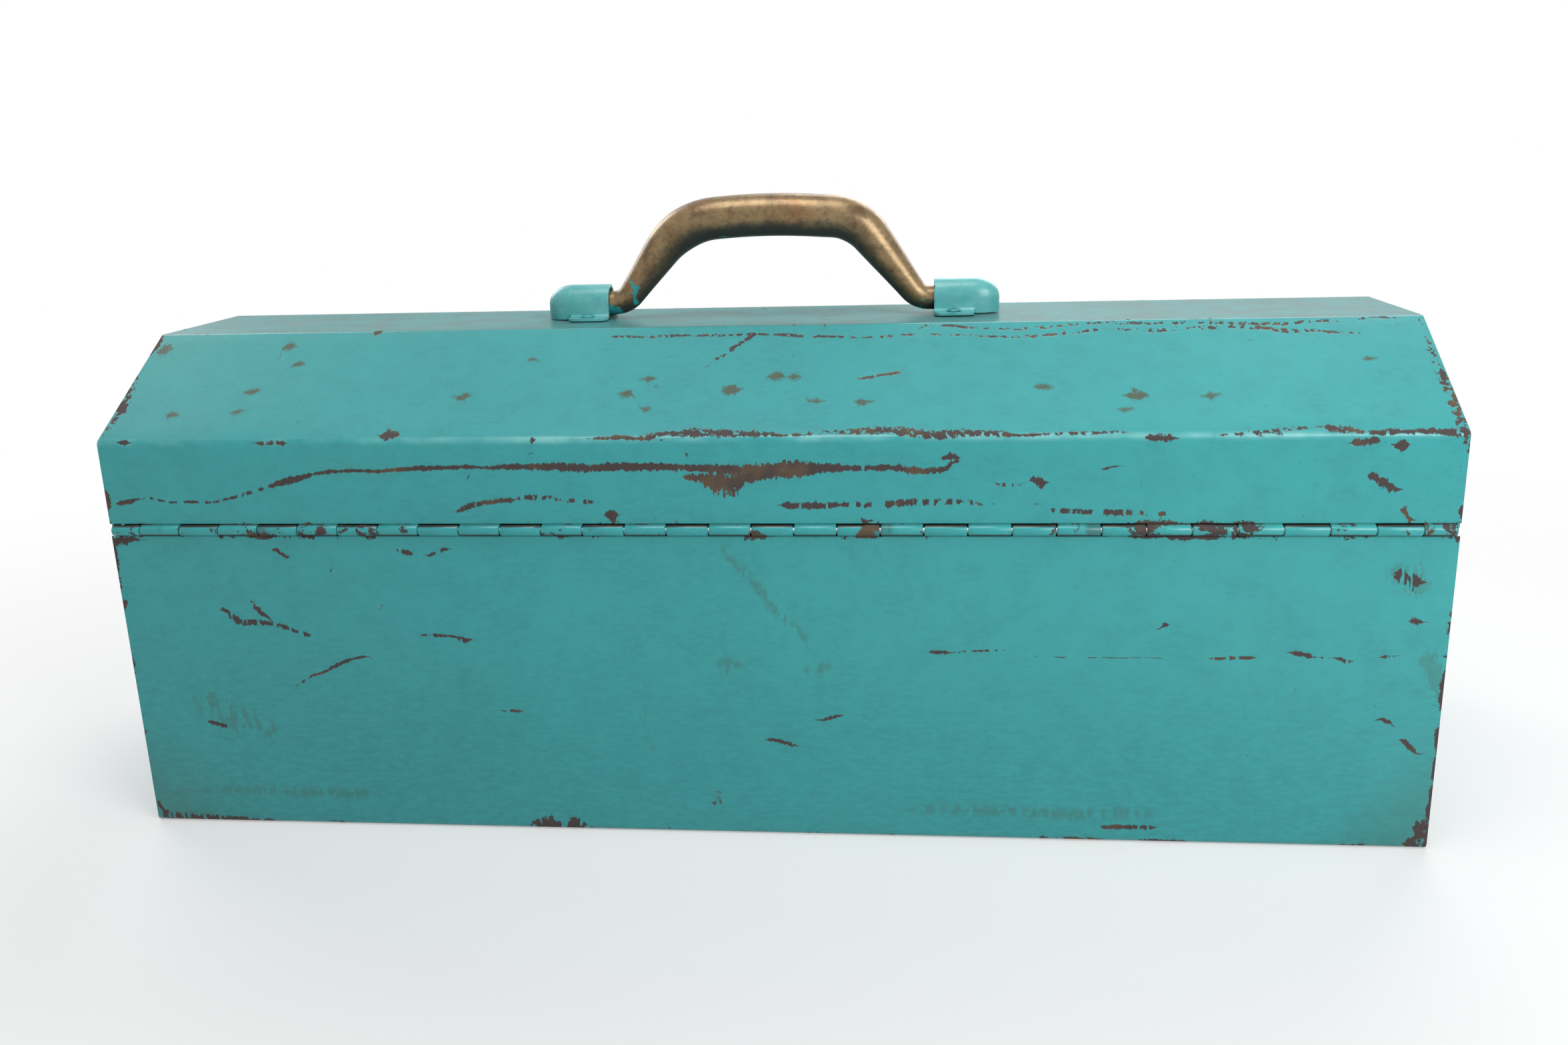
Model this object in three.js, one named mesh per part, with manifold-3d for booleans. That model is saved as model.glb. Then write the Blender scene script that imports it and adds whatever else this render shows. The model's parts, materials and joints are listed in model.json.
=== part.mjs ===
// A hip-roof sheet-steel toolbox with a lift-out tray, a piano hinge, two draw latches and a swinging handle.
// Millimetres, +Z up, +X along the length. The origin is the centre of the base.
// The hinge runs along the -Y side and the latches are on the +Y side.
import * as THREE from 'three';
import { mergeVertices } from 'three/addons/utils/BufferGeometryUtils.js';
import Module from 'manifold-3d';

// The case
const length = 502;
const depth = 177.8;
const seamHeight = 124.7;      // the line where the lid meets the body, and the hinge axis
const lidWall = 34.8;          // upright strip of the lid
const roofRise = 33.6;         // height of the sloping faces
const flatTop = 65.4;          // width of the flat top
const sheet = 1;               // case sheet thickness
const bend = 2.5;              // outer radius of the folded edges
const gap = 0.3;               // between neighbouring pieces
const flange = 12;             // turned-in edges of the end panels
const lipHeight = 6;           // the body rim stands this far inside the lid
const lipGap = 0.6;            // between that rim and the lid
const lipSetback = 6;          // the rim stops this far before each corner
const seamGap = 0.4;           // between the lid's lower edge and the body

// The piano hinge
const knucklePitch = 15.875;
const knuckleGap = 0.4;
const barrelRadius = 2.4;
const hingePinRadius = 1.1;
const leafSheet = 0.9;
const leafWidth = 16;          // from the hinge axis to the leaf's far edge
const runningGap = 0.2;        // round a pin

// The handle and its clips
const gripRadius = 8.2;
const handleEndRadius = 5;
const handleWall = 1.2;
const gripHeight = 41.5;       // centre of the grip above the flat top
const gripBow = 0.8;           // the middle of the grip stands this much higher
const shoulder = 36;           // where the leg's line meets the grip's line, from the middle
const foot = 61.5;             // where the leg's line meets the pivot's line
const handleReach = 84;        // half the length over the turned-out ends
const clipMouth = 67.8;        // the clip's open end, from the middle
const clipDome = 10.5;         // length of the clip's rounded end
const clipWall = 1.3;
const clipFlange = 7;
const endClearance = 0.4;      // round the handle's ends

// The latches
const latchFromEnd = 92;
const bracket = 1.2;           // thickness of latch plates, ears and levers
const earInset = 10;           // inner faces of the ears, from the latch's middle
const latchStandoff = 7;       // lever pivot to the case
const latchDrop = 17;          // lever pivot below the seam
const latchPinRadius = 1.5;
const leverLength = 36;
const leverHalf = 9;
const leverReach = 4.4;        // lever pivot to the lever's outer face
const bailArm = 7;             // lever pivot to bail pivot
const bailLength = 40;
const bailHalf = 14.5;
const wireRadius = 1.3;
const keeperHalf = 8;

// The padlock lugs
const lugSheet = 2;
const lugHalf = 10;
const lugReach = 14;
const lugFlange = 20;
const lugHole = 4;
const lugSeam = 1;             // each lug's tab stands this far from the seam

// The tray
const trayDepth = 46;
const trayDrop = 8;            // tray rim below the seam
const trayClearance = 2;
const ledgeWidth = 14;
const ledgeHalf = 60;
const dividerPlace = 62;
const dividerDrop = 2;         // divider below the tray rim
const trayHandleRise = 44;     // above the tray rim
const trayHandleHalf = 12;
const trayHandleSheet = 2;
const trayHandleBend = 14;

// Rivets
const shankRadius = 1.6;
const shankGap = 0.3;
const headRadius = 2.9;
const headHeight = 1.3;
const tailRadius = 2.5;
const tailHeight = 0.8;
const rivetSeat = 0.15;

// Places that follow from the sizes above
const halfLength = length / 2;
const halfDepth = depth / 2;
const creaseHeight = seamHeight + lidWall;
const topHeight = creaseHeight + roofRise;
const joggle = sheet + lipGap;
const rimShoulder = seamHeight - joggle - runningGap;
const lidRim = seamHeight + seamGap;
const innerHalf = halfDepth - sheet - gap;
const leafOuter = -innerHalf;
const leafInner = leafOuter + leafSheet;
const hingeY = leafInner - barrelRadius;
const hingeHalf = halfLength - sheet - gap;
const handleAxis = topHeight + handleEndRadius + 1.5;
const latchX = halfLength - latchFromEnd;
const plateFace = halfDepth + gap;
const pivotY = halfDepth + latchStandoff;
const pivotZ = seamHeight - latchDrop;
const bailZ = pivotZ - bailArm;
const hookZ = bailZ + bailLength;
const trayHalfX = halfLength - joggle - sheet - trayClearance;
const trayHalfY = halfDepth - joggle - sheet - trayClearance;
const trayRim = seamHeight - trayDrop;
const ledgeTop = trayRim - trayDepth;
const trayFloor = ledgeTop + gap;

const wasm = await Module();
wasm.setup();

// Flat outlines

function points(pairs) {
  return pairs.map(([a, b]) => new THREE.Vector2(a, b));
}

function rectangle(a0, a1, b0, b1) {
  return points([[a0, b0], [a1, b0], [a1, b1], [a0, b1]]);
}

function disc(a, b, radius, sides) {
  const turn = (i) => ((i + 0.5) / sides) * 2 * Math.PI;
  const corner = (i) => [a + radius * Math.cos(turn(i)), b + radius * Math.sin(turn(i))];
  return points(Array.from({ length: sides }, (_, i) => corner(i)));
}

// The arc that rounds one corner of a path.
function fillet(before, corner, after, radius, steps) {
  const back = before.clone().sub(corner).normalize();
  const ahead = after.clone().sub(corner).normalize();
  const half = back.angleTo(ahead) / 2;
  const centre = back.clone().add(ahead).normalize().multiplyScalar(radius / Math.sin(half)).add(corner);
  const start = back.clone().multiplyScalar(radius / Math.tan(half)).add(corner);
  const sweep = (Math.PI - 2 * half) * -Math.sign(back.cross(ahead));
  return Array.from({ length: steps + 1 }, (_, i) => start.clone().rotateAround(centre, (sweep * i) / steps));
}

// A path with its inner corners rounded, each to its own radius when a list is given.
function roundedPath(corners, radius, steps = 4) {
  const radiusAt = (i) => (Array.isArray(radius) ? radius[i - 1] : radius);
  const rounded = corners.slice(1, -1).flatMap((corner, i) =>
    fillet(corners[i], corner, corners[i + 2], radiusAt(i + 1), steps));
  return [corners[0], ...rounded, corners.at(-1)];
}

// Left-hand directions across a path at each of its points, long enough to keep a mitred offset even.
function pathNormals(path) {
  const across = path.slice(1).map((point, i) => {
    const along = point.clone().sub(path[i]).normalize();
    return new THREE.Vector2(-along.y, along.x);
  });
  return path.map((_, i) => {
    const one = across[Math.max(i - 1, 0)];
    const two = across[Math.min(i, across.length - 1)];
    const middle = one.clone().add(two).normalize();
    return middle.divideScalar(middle.dot(one));
  });
}

function offsetPath(path, distance) {
  return pathNormals(path).map((normal, i) => normal.multiplyScalar(distance).add(path[i]));
}

// The edge view of a bent sheet whose thickness lies to the left of the path.
function sheetOutline(corners, radius, thickness) {
  const face = roundedPath(points(corners), radius);
  return [...face, ...offsetPath(face, thickness).reverse()];
}

// Solids

function toSolid(geometry) {
  const bare = geometry.clone();
  bare.deleteAttribute('normal');
  bare.deleteAttribute('uv');
  const merged = mergeVertices(bare, 1e-4);
  const corners = Array.from(merged.index.array);
  const triangles = Array.from({ length: corners.length / 3 }, (_, i) => corners.slice(3 * i, 3 * i + 3));
  const whole = triangles.filter(([a, b, c]) => a !== b && b !== c && c !== a);
  return new wasm.Manifold(new wasm.Mesh({
    numProp: 3,
    vertProperties: new Float32Array(merged.attributes.position.array),
    triVerts: new Uint32Array(whole.flat()),
  }));
}

function toGeometry(solid) {
  const mesh = solid.getMesh();
  const geometry = new THREE.BufferGeometry();
  geometry.setAttribute('position', new THREE.BufferAttribute(mesh.vertProperties, 3));
  geometry.setIndex(new THREE.BufferAttribute(mesh.triVerts, 1));
  geometry.computeVertexNormals();
  return geometry;
}

function extruded(outline, distance, axes, origin) {
  const geometry = new THREE.ExtrudeGeometry(new THREE.Shape(outline), { depth: distance, bevelEnabled: false });
  const matrix = new THREE.Matrix4().makeBasis(...axes).setPosition(origin);
  return toSolid(geometry.applyMatrix4(matrix));
}

const unitX = new THREE.Vector3(1, 0, 0);
const unitY = new THREE.Vector3(0, 1, 0);
const unitZ = new THREE.Vector3(0, 0, 1);

// An outline in (y, z), carried along X.
function alongX(outline, from, to) {
  return extruded(outline, to - from, [unitY, unitZ, unitX], new THREE.Vector3(from, 0, 0));
}

// An outline in (x, z), carried along Y.
function alongY(outline, from, to) {
  return extruded(outline, to - from, [unitX, unitZ, unitY.clone().negate()], new THREE.Vector3(0, to, 0));
}

// An outline in (x, y), carried along Z.
function alongZ(outline, from, to) {
  return extruded(outline, to - from, [unitX, unitY, unitZ], new THREE.Vector3(0, 0, from));
}

function block(x0, x1, y0, y1, z0, z1) {
  return alongZ(rectangle(x0, x1, y0, y1), z0, z1);
}

function joined(solids) {
  return solids.reduce((whole, piece) => whole.add(piece));
}

function cutAway(solid, cutters) {
  return cutters.reduce((whole, cutter) => whole.subtract(cutter), solid);
}

// A round bar or tube along a flat path in (x, z): each point of the path is one ring of a lathed bar,
// and the rings are then carried to their places on the path.
function sweptBar(path, radiusAt, sides, wall = 0) {
  const outside = path.map((point, i) => new THREE.Vector2(radiusAt(point), i));
  const inside = outside.map((ring) => new THREE.Vector2(ring.x - wall, ring.y)).reverse();
  const ends = [new THREE.Vector2(0, path.length - 1), new THREE.Vector2(0, 0)];
  const profile = wall ? [...outside, ...inside, outside[0]] : [ends[1], ...outside, ends[0]];
  const geometry = new THREE.LatheGeometry(profile, sides);
  const position = geometry.attributes.position;
  const normals = pathNormals(path);
  for (let i = 0; i < position.count; i++) {
    const ring = Math.round(position.getY(i));
    const across = -position.getX(i);
    const x = path[ring].x + normals[ring].x * across;
    const z = path[ring].y + normals[ring].y * across;
    position.setXYZ(i, x, -position.getZ(i), z);
  }
  return toSolid(geometry);
}

// Extra points so that no step of a path is longer than a limit.
function subdivided(path, limit) {
  return path.flatMap((point, i) => {
    const next = path[i + 1];
    const steps = next ? Math.ceil(point.distanceTo(next) / limit) : 1;
    return Array.from({ length: steps }, (_, k) => (k ? point.clone().lerp(next, k / steps) : point));
  });
}

// Rivets. Each place holds a point on the outer face, the direction it faces and the clamped thickness.

function rivetPlace(x, y, z, facing, grip) {
  return { at: new THREE.Vector3(x, y, z), facing, grip };
}

function turnedTo(place) {
  const turn = new THREE.Quaternion().setFromUnitVectors(unitY, place.facing);
  return new THREE.Matrix4().compose(place.at, turn, new THREE.Vector3(1, 1, 1));
}

function rivet(place) {
  const tail = -place.grip - rivetSeat;
  const profile = points([
    [0, tail - tailHeight], [tailRadius, tail - tailHeight], [tailRadius, tail], [shankRadius, tail],
    [shankRadius, rivetSeat], [headRadius, rivetSeat], [headRadius * 0.85, rivetSeat + headHeight * 0.55],
    [headRadius * 0.45, rivetSeat + headHeight * 0.93], [0, rivetSeat + headHeight],
  ]);
  return toSolid(new THREE.LatheGeometry(profile, 10).applyMatrix4(turnedTo(place)));
}

function rivetHole(place) {
  const reach = place.grip + 2;
  const hole = new THREE.CylinderGeometry(shankRadius + shankGap, shankRadius + shankGap, reach, 10);
  return toSolid(hole.translate(0, 1 - reach / 2, 0).applyMatrix4(turnedTo(place)));
}

// The case

function lidCorners(frontRim, backRim) {
  return [
    [halfDepth, frontRim], [halfDepth, creaseHeight], [flatTop / 2, topHeight],
    [-flatTop / 2, topHeight], [-halfDepth, creaseHeight], [-halfDepth, backRim],
  ];
}

function bodyWrap(holes) {
  const wall = sheetOutline([
    [-halfDepth, seamHeight - barrelRadius - gap], [-halfDepth, 0], [halfDepth, 0], [halfDepth, rimShoulder],
    [halfDepth - joggle, rimShoulder + joggle], [halfDepth - joggle, seamHeight + lipHeight],
  ], [bend, bend, joggle, joggle], sheet);
  const corner = (side) => {
    const inner = side * (halfLength - lipSetback);
    const outer = side * (halfLength + 1);
    return block(Math.min(inner, outer), Math.max(inner, outer), 0, halfDepth + 1, rimShoulder, topHeight);
  };
  return cutAway(alongX(wall, -halfLength, halfLength), [corner(-1), corner(1), ...holes]);
}

// The room inside a trough of folded sheet, less the gap that keeps its ends clear of it.
function troughInside(outerHalf, floor, top) {
  const outside = points([[-outerHalf, top], [-outerHalf, floor], [outerHalf, floor], [outerHalf, top]]);
  return offsetPath(roundedPath(outside, bend), sheet + gap);
}

// A pan-shaped end for such a trough: an upright panel with turned-in flanges at the bottom and both sides.
function endPanel(outerX, outerHalf, outerFloor, flangeTop, edge) {
  const halfWidth = outerHalf - sheet - gap;
  const floor = outerFloor + sheet + gap;
  const profile = sheetOutline([[outerX - flange, floor], [outerX, floor], ...edge.corners],
    [bend - sheet, ...edge.radii], sheet);
  const side = (y0, y1) => block(outerX - flange, outerX - sheet / 2, y0, y1, floor, flangeTop);
  const pan = joined([
    alongY(profile, -halfWidth, halfWidth),
    side(-halfWidth, sheet - halfWidth),
    side(halfWidth - sheet, halfWidth),
  ]);
  const inside = troughInside(outerHalf, outerFloor, topHeight);
  return pan.intersect(alongX(inside, outerX - flange - 1, outerX + 1));
}

function bodyEnd() {
  const edge = {
    corners: [[halfLength, rimShoulder], [halfLength - joggle, rimShoulder + joggle],
      [halfLength - joggle, seamHeight + lipHeight]],
    radii: [joggle, joggle],
  };
  const pan = endPanel(halfLength, halfDepth, 0, seamHeight - leafWidth - 4, edge);
  const inside = halfDepth - lipSetback;
  const corner = (y0, y1) => block(0, halfLength + 1, y0, y1, rimShoulder - joggle, topHeight);
  return cutAway(pan, [corner(-halfDepth, -inside), corner(inside, halfDepth)]);
}

function lidWrap(holes) {
  const wall = sheetOutline(lidCorners(lidRim, seamHeight + barrelRadius + gap), bend, sheet);
  return cutAway(alongX(wall, -halfLength, halfLength), holes);
}

function lidEnd() {
  const fitted = (rim) => offsetPath(roundedPath(points(lidCorners(rim, rim)), bend), sheet + gap);
  const panel = alongX(fitted(lidRim), halfLength - sheet, halfLength);
  const edge = fitted(seamHeight + leafWidth + 4);
  const turned = [...edge, ...offsetPath(edge, sheet).reverse()];
  return panel.add(alongX(turned, halfLength - flange, halfLength - sheet / 2));
}

// The hinge: full knuckles in the middle and a shortened one at each end, shared in turn by the two leaves.

function knuckleSpans() {
  const full = Math.floor((2 * hingeHalf) / knucklePitch) - 1;
  const start = -(full * knucklePitch) / 2;
  const edges = Array.from({ length: full + 1 }, (_, i) => start + i * knucklePitch);
  const ends = [-hingeHalf, ...edges, hingeHalf];
  return ends.slice(1).map((end, i) => [ends[i] + knuckleGap / 2, end - knuckleGap / 2]);
}

function hingeLeaf(side, first) {
  const z = (distance) => seamHeight + side * distance;
  const span = (a, b) => [Math.min(z(a), z(b)), Math.max(z(a), z(b))];
  const plate = block(-hingeHalf, hingeHalf, leafOuter, leafInner, ...span(barrelRadius + gap, leafWidth));
  const knuckles = knuckleSpans().filter((_, i) => i % 2 === first).flatMap(([x0, x1]) => [
    alongX(disc(hingeY, seamHeight, barrelRadius, 12), x0, x1),
    block(x0, x1, leafOuter, leafInner, ...span(0, barrelRadius + 1)),
  ]);
  const bore = alongX(disc(hingeY, seamHeight, hingePinRadius + runningGap, 8), -halfLength, halfLength);
  return joined([plate, ...knuckles]).subtract(bore);
}

function hingePin() {
  return alongX(disc(hingeY, seamHeight, hingePinRadius, 8), gap - hingeHalf, hingeHalf - gap);
}

// The handle: a bent tube, necked down where its ends turn outwards into the clips.

function handleBar() {
  const top = topHeight + gripHeight;
  const half = points([[handleReach, handleAxis], [foot, handleAxis], [shoulder, top]]);
  const mirrored = half.map((point) => new THREE.Vector2(-point.x, point.y));
  const corners = [...mirrored, new THREE.Vector2(0, top + gripBow), ...half.reverse()];
  const path = subdivided(roundedPath(corners, [9, 22, 300, 22, 9], 5), 8);
  const neckStart = foot - 8.5;
  const neckEnd = foot + 2.5;
  const radiusAt = (point) => {
    const slim = THREE.MathUtils.smoothstep(Math.abs(point.x), neckStart, neckEnd);
    return THREE.MathUtils.lerp(gripRadius, handleEndRadius, slim);
  };
  return sweptBar(path, radiusAt, 16, handleWall);
}

// A bullet-shaped cap that stands on the lid: round above the handle's axis, upright below it.
function bullet(radius, start, end, base) {
  const dome = end - clipDome;
  const arc = Array.from({ length: 7 }, (_, i) => (i * Math.PI) / 12);
  const profile = [
    [0, start], [radius, start],
    ...arc.map((a) => [radius * Math.cos(a), dome + clipDome * Math.sin(a)]).slice(0, -1),
    [0, end],
  ];
  const turned = new THREE.Matrix4().makeBasis(unitZ, unitX, unitY).setPosition(0, 0, handleAxis);
  const round = toSolid(new THREE.LatheGeometry(points(profile), 20).applyMatrix4(turned));
  const plan = [
    [start, -radius], [start, radius],
    ...arc.map((a) => [dome + clipDome * Math.sin(a), radius * Math.cos(a)]),
    ...arc.slice(0, -1).reverse().map((a) => [dome + clipDome * Math.sin(a), -radius * Math.cos(a)]),
  ];
  const skirt = alongZ(points(plan), base, handleAxis);
  const above = block(start - 1, end + 1, -radius - 1, radius + 1, base, handleAxis + radius + 1);
  return round.intersect(above).add(skirt);
}

const clipInner = handleEndRadius + endClearance;
const clipOuter = clipInner + clipWall;
const clipEnd = handleReach + clipDome;
const clipBase = topHeight + gap;

function clipRivets(side) {
  const x = side * (clipMouth + (clipEnd - clipDome - clipMouth) / 2);
  const y = clipOuter + clipFlange / 2;
  return [-1, 1].map((edge) => rivetPlace(x, edge * y, clipBase + clipWall, unitZ, sheet + gap + clipWall));
}

function handleClip() {
  const width = clipOuter + clipFlange;
  const plan = roundedPath(points([
    [clipMouth, 0], [clipMouth, width], [clipEnd - clipDome, width], [clipEnd - clipDome, -width],
    [clipMouth, -width], [clipMouth, 0],
  ]), 3);
  const foot = alongZ(plan.slice(0, -1), clipBase, clipBase + clipWall);
  const shell = bullet(clipOuter, clipMouth, clipEnd, clipBase);
  const hollow = bullet(clipInner, clipMouth - 2, clipEnd - clipWall, clipBase - 1);
  return cutAway(shell.add(foot), [hollow, ...clipRivets(1).map(rivetHole)]);
}

// The latches, drawn round x = 0 and then moved to their places.

function frontRivets(x, zs, half, thickness) {
  const place = (dx, z) => rivetPlace(x + dx, plateFace + thickness, z, unitY, sheet + gap + thickness);
  return zs.flatMap((z) => half.map((dx) => place(dx, z)));
}

const baseRivets = (x) => frontRivets(x, [pivotZ - 20, pivotZ + 9], [0], bracket);
const keeperRivets = (x) => frontRivets(x, [hookZ + 8.5], [-4.3, 4.3], bracket);

function latchBase() {
  const half = earInset + bracket;
  const plate = block(-half, half, plateFace, plateFace + bracket, pivotZ - 25, pivotZ + 13.5);
  const round = disc(pivotY, pivotZ, 4, 16).filter((p) => p.x > pivotY).sort((a, b) => a.y - b.y);
  const outline = [...points([[plateFace, pivotZ - 5]]), ...round, ...points([[plateFace, pivotZ + 5]])];
  const ears = [-half, earInset].map((x) => alongX(outline, x, x + bracket));
  const bore = alongX(disc(pivotY, pivotZ, latchPinRadius + runningGap, 12), -half - 1, half + 1);
  return cutAway(joined([plate, ...ears]), [bore, ...baseRivets(0).map(rivetHole)]);
}

function latchPin() {
  const half = earInset + bracket + runningGap;
  const head = (x) => alongX(disc(pivotY, pivotZ, latchPinRadius + 1, 12), x, x + 0.8);
  const shank = alongX(disc(pivotY, pivotZ, latchPinRadius, 12), -half - 0.1, half + 0.1);
  return joined([shank, head(-half - 0.8), head(half)]);
}

function latchLever() {
  const face = pivotY + leverReach;
  const tip = pivotZ - leverLength;
  const plate = sheetOutline([[face, pivotZ + 1.5], [face, tip + 4], [face + 3, tip]], 5, -bracket);
  const cheek = roundedPath(points([
    [face - 0.4, pivotZ + 1.5], [pivotY - 3.2, pivotZ + 2.6], [pivotY - 3.2, bailZ - 3.2],
    [pivotY + 1, bailZ - 5], [face - 0.4, bailZ - 12],
  ]), 2, 3);
  const cheeks = [-leverHalf, leverHalf - bracket].map((x) => alongX(cheek, x, x + bracket));
  const bore = (z, radius) => alongX(disc(pivotY, z, radius + runningGap, 12), -leverHalf - 1, leverHalf + 1);
  const body = joined([alongX(plate, -leverHalf, leverHalf), ...cheeks]);
  return cutAway(body, [bore(pivotZ, latchPinRadius), bore(bailZ, wireRadius)]);
}

// A wire loop with its two ends turned in through the lever's cheeks.
function latchBail() {
  const end = leverHalf - bracket - 0.8;
  const low = bailZ - bailLength;
  const corners = points([[-end, bailZ], [-bailHalf, bailZ], [-bailHalf, low], [bailHalf, low],
    [bailHalf, bailZ], [end, bailZ]]);
  const wire = sweptBar(roundedPath(corners, [1.8, 5, 5, 1.8], 4), () => wireRadius, 8);
  return toSolid(toGeometry(wire).translate(0, pivotY, 0));
}

// A J-shaped hook that the loop drops into.
function latchKeeper() {
  const low = hookZ - wireRadius - runningGap - bracket;
  const out = plateFace + 2 * bracket + 2 * wireRadius + 0.8;
  const hook = sheetOutline([[plateFace, hookZ + 14], [plateFace, low], [out, low], [out, hookZ + 1.5]],
    [1.8, 1.8], bracket);
  return cutAway(alongX(hook, -keeperHalf, keeperHalf), keeperRivets(0).map(rivetHole));
}

// The padlock lugs: an upright flange and a tab with a hole, one above the seam and one below it.

const lugRivets = (side) => frontRivets(0, [seamHeight + side * (lugFlange - 6)], [-5.5, 5.5], lugSheet);

function padlockLug(side) {
  const tab = seamHeight + side * lugSeam;
  const far = plateFace + lugReach;
  const corners = [[plateFace, seamHeight + side * lugFlange], [plateFace, tab], [far, tab]];
  const angle = alongX(sheetOutline(corners, lugSheet + 0.5, side * lugSheet), -lugHalf, lugHalf);
  const plan = roundedPath(points([[-lugHalf, plateFace], [-lugHalf, far], [lugHalf, far], [lugHalf, plateFace]]), 6);
  const rounded = angle.intersect(alongZ(plan, seamHeight - lugFlange - 1, seamHeight + lugFlange + 1));
  const hole = alongZ(disc(0, far - lugHole - 2, lugHole, 16), seamHeight - 10, seamHeight + 10);
  return cutAway(rounded, [hole, ...lugRivets(side).map(rivetHole)]);
}

// The tray

function trayTub() {
  const wall = sheetOutline([[-trayHalfY, trayRim], [-trayHalfY, trayFloor], [trayHalfY, trayFloor],
    [trayHalfY, trayRim]], bend, sheet);
  return alongX(wall, -trayHalfX, trayHalfX);
}

const trayInner = trayHalfY - sheet - gap;

function trayEnd() {
  const edge = { corners: [[trayHalfX, trayRim]], radii: [] };
  return endPanel(trayHalfX, trayHalfY, trayFloor, trayRim, edge);
}

const handleRivets = (side) => [rivetPlace(
  side * (dividerPlace - gap - trayHandleSheet), 0, trayRim - 12,
  unitX.clone().multiplyScalar(-side), sheet + gap + trayHandleSheet,
)];

function trayDivider() {
  const low = trayFloor + sheet + gap;
  const wall = sheetOutline([[dividerPlace + flange, low], [dividerPlace, low], [dividerPlace, trayRim - dividerDrop]],
    bend, -sheet);
  const inside = alongX(troughInside(trayHalfY, trayFloor, trayRim), 0, trayHalfX);
  return cutAway(alongY(wall, -trayInner, trayInner).intersect(inside), handleRivets(1).map(rivetHole));
}

function trayHandle() {
  const out = dividerPlace - gap;
  const low = trayFloor + sheet + 4;
  const top = trayRim + trayHandleRise;
  const strap = sheetOutline([[out, low], [out, top], [-out, top], [-out, low]], trayHandleBend, trayHandleSheet);
  const holes = [...handleRivets(1), ...handleRivets(-1)].map(rivetHole);
  return cutAway(alongY(strap, -trayHandleHalf, trayHandleHalf), holes);
}

function trayLedge() {
  const wall = halfLength - sheet - gap;
  const angle = sheetOutline([[wall, ledgeTop - 14], [wall, ledgeTop], [wall - ledgeWidth, ledgeTop]], bend, sheet);
  return alongY(angle, -ledgeHalf, ledgeHalf);
}

// The scene

const paint = { color: 0x4bb5ae, roughness: 0.35, metalness: 0.1 };
const primer = { color: 0x5a4d49, roughness: 0.55, metalness: 0.1 };
const bronze = { color: 0x8a5f35, roughness: 0.4, metalness: 0.7 };
const steel = { color: 0x9a9a96, roughness: 0.4, metalness: 0.9 };

const toolbox = new THREE.Group();

function addPiece(name, solid, finish) {
  const mesh = new THREE.Mesh(toGeometry(solid), new THREE.MeshStandardMaterial(finish));
  mesh.name = name;
  toolbox.add(mesh);
  return mesh;
}

// The same piece at both ends of the box: the left one is the right one turned half round.
function addPair(name, solid, finish) {
  addPiece(`${name}_right`, solid, finish);
  addPiece(`${name}_left`, solid, finish).rotation.z = Math.PI;
}

// The same piece at both latches.
function addAtLatches(name, solid, finish) {
  addPiece(`${name}_right`, solid, finish).position.x = latchX;
  addPiece(`${name}_left`, solid, finish).position.x = -latchX;
}

function addRivets(name, places, finish) {
  places.forEach((place, i) => addPiece(`${name}_${i + 1}`, rivet(place), finish));
}

const bothLatches = (places) => [...places(-latchX), ...places(latchX)];
const bodyHoles = [...bothLatches(baseRivets), ...lugRivets(-1)];
const clipHoles = [...clipRivets(-1), ...clipRivets(1)];
const lidHoles = [...bothLatches(keeperRivets), ...lugRivets(1), ...clipHoles];
const strapRivets = [...handleRivets(-1), ...handleRivets(1)];

addPiece('body_wrap', bodyWrap(bodyHoles.map(rivetHole)), paint);
addPair('body_end', bodyEnd(), paint);
addPair('tray_ledge', trayLedge(), primer);
addPiece('lid_wrap', lidWrap(lidHoles.map(rivetHole)), paint);
addPair('lid_end', lidEnd(), paint);
addPiece('hinge_leaf_body', hingeLeaf(-1, 0), paint);
addPiece('hinge_leaf_lid', hingeLeaf(1, 1), paint);
addPiece('hinge_pin', hingePin(), steel);
addPiece('handle', handleBar(), bronze);
addPair('handle_clip', handleClip(), paint);
addAtLatches('latch_base', latchBase(), steel);
addAtLatches('latch_pin', latchPin(), steel);
addAtLatches('latch_lever', latchLever(), steel);
addAtLatches('latch_bail', latchBail(), steel);
addAtLatches('latch_keeper', latchKeeper(), steel);
addPiece('padlock_lug_body', padlockLug(-1), paint);
addPiece('padlock_lug_lid', padlockLug(1), paint);
addPiece('tray_tub', trayTub(), primer);
addPair('tray_end', trayEnd(), primer);
addPair('tray_divider', trayDivider(), primer);
addPiece('tray_handle', trayHandle(), primer);
addRivets('latch_base_rivet', bothLatches(baseRivets), paint);
addRivets('latch_keeper_rivet', bothLatches(keeperRivets), paint);
addRivets('lug_rivet_body', lugRivets(-1), paint);
addRivets('lug_rivet_lid', lugRivets(1), paint);
addRivets('clip_rivet', clipHoles, paint);
addRivets('tray_handle_rivet', strapRivets, steel);

export default toolbox;
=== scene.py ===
# %% [markdown]
# # A painted steel toolbox
# The toolbox is a folded sheet-steel case under a hip-roof lid, joined by a hinge as long as the box.
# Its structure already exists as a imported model, so this lesson opens that model as a fixed frame
# and gives every piece its visible form and finish. Places are read from the frame, never guessed.

# %% Open the frame
import json
import math

import bmesh
import bpy
from mathutils import Matrix, Vector, noise


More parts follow.
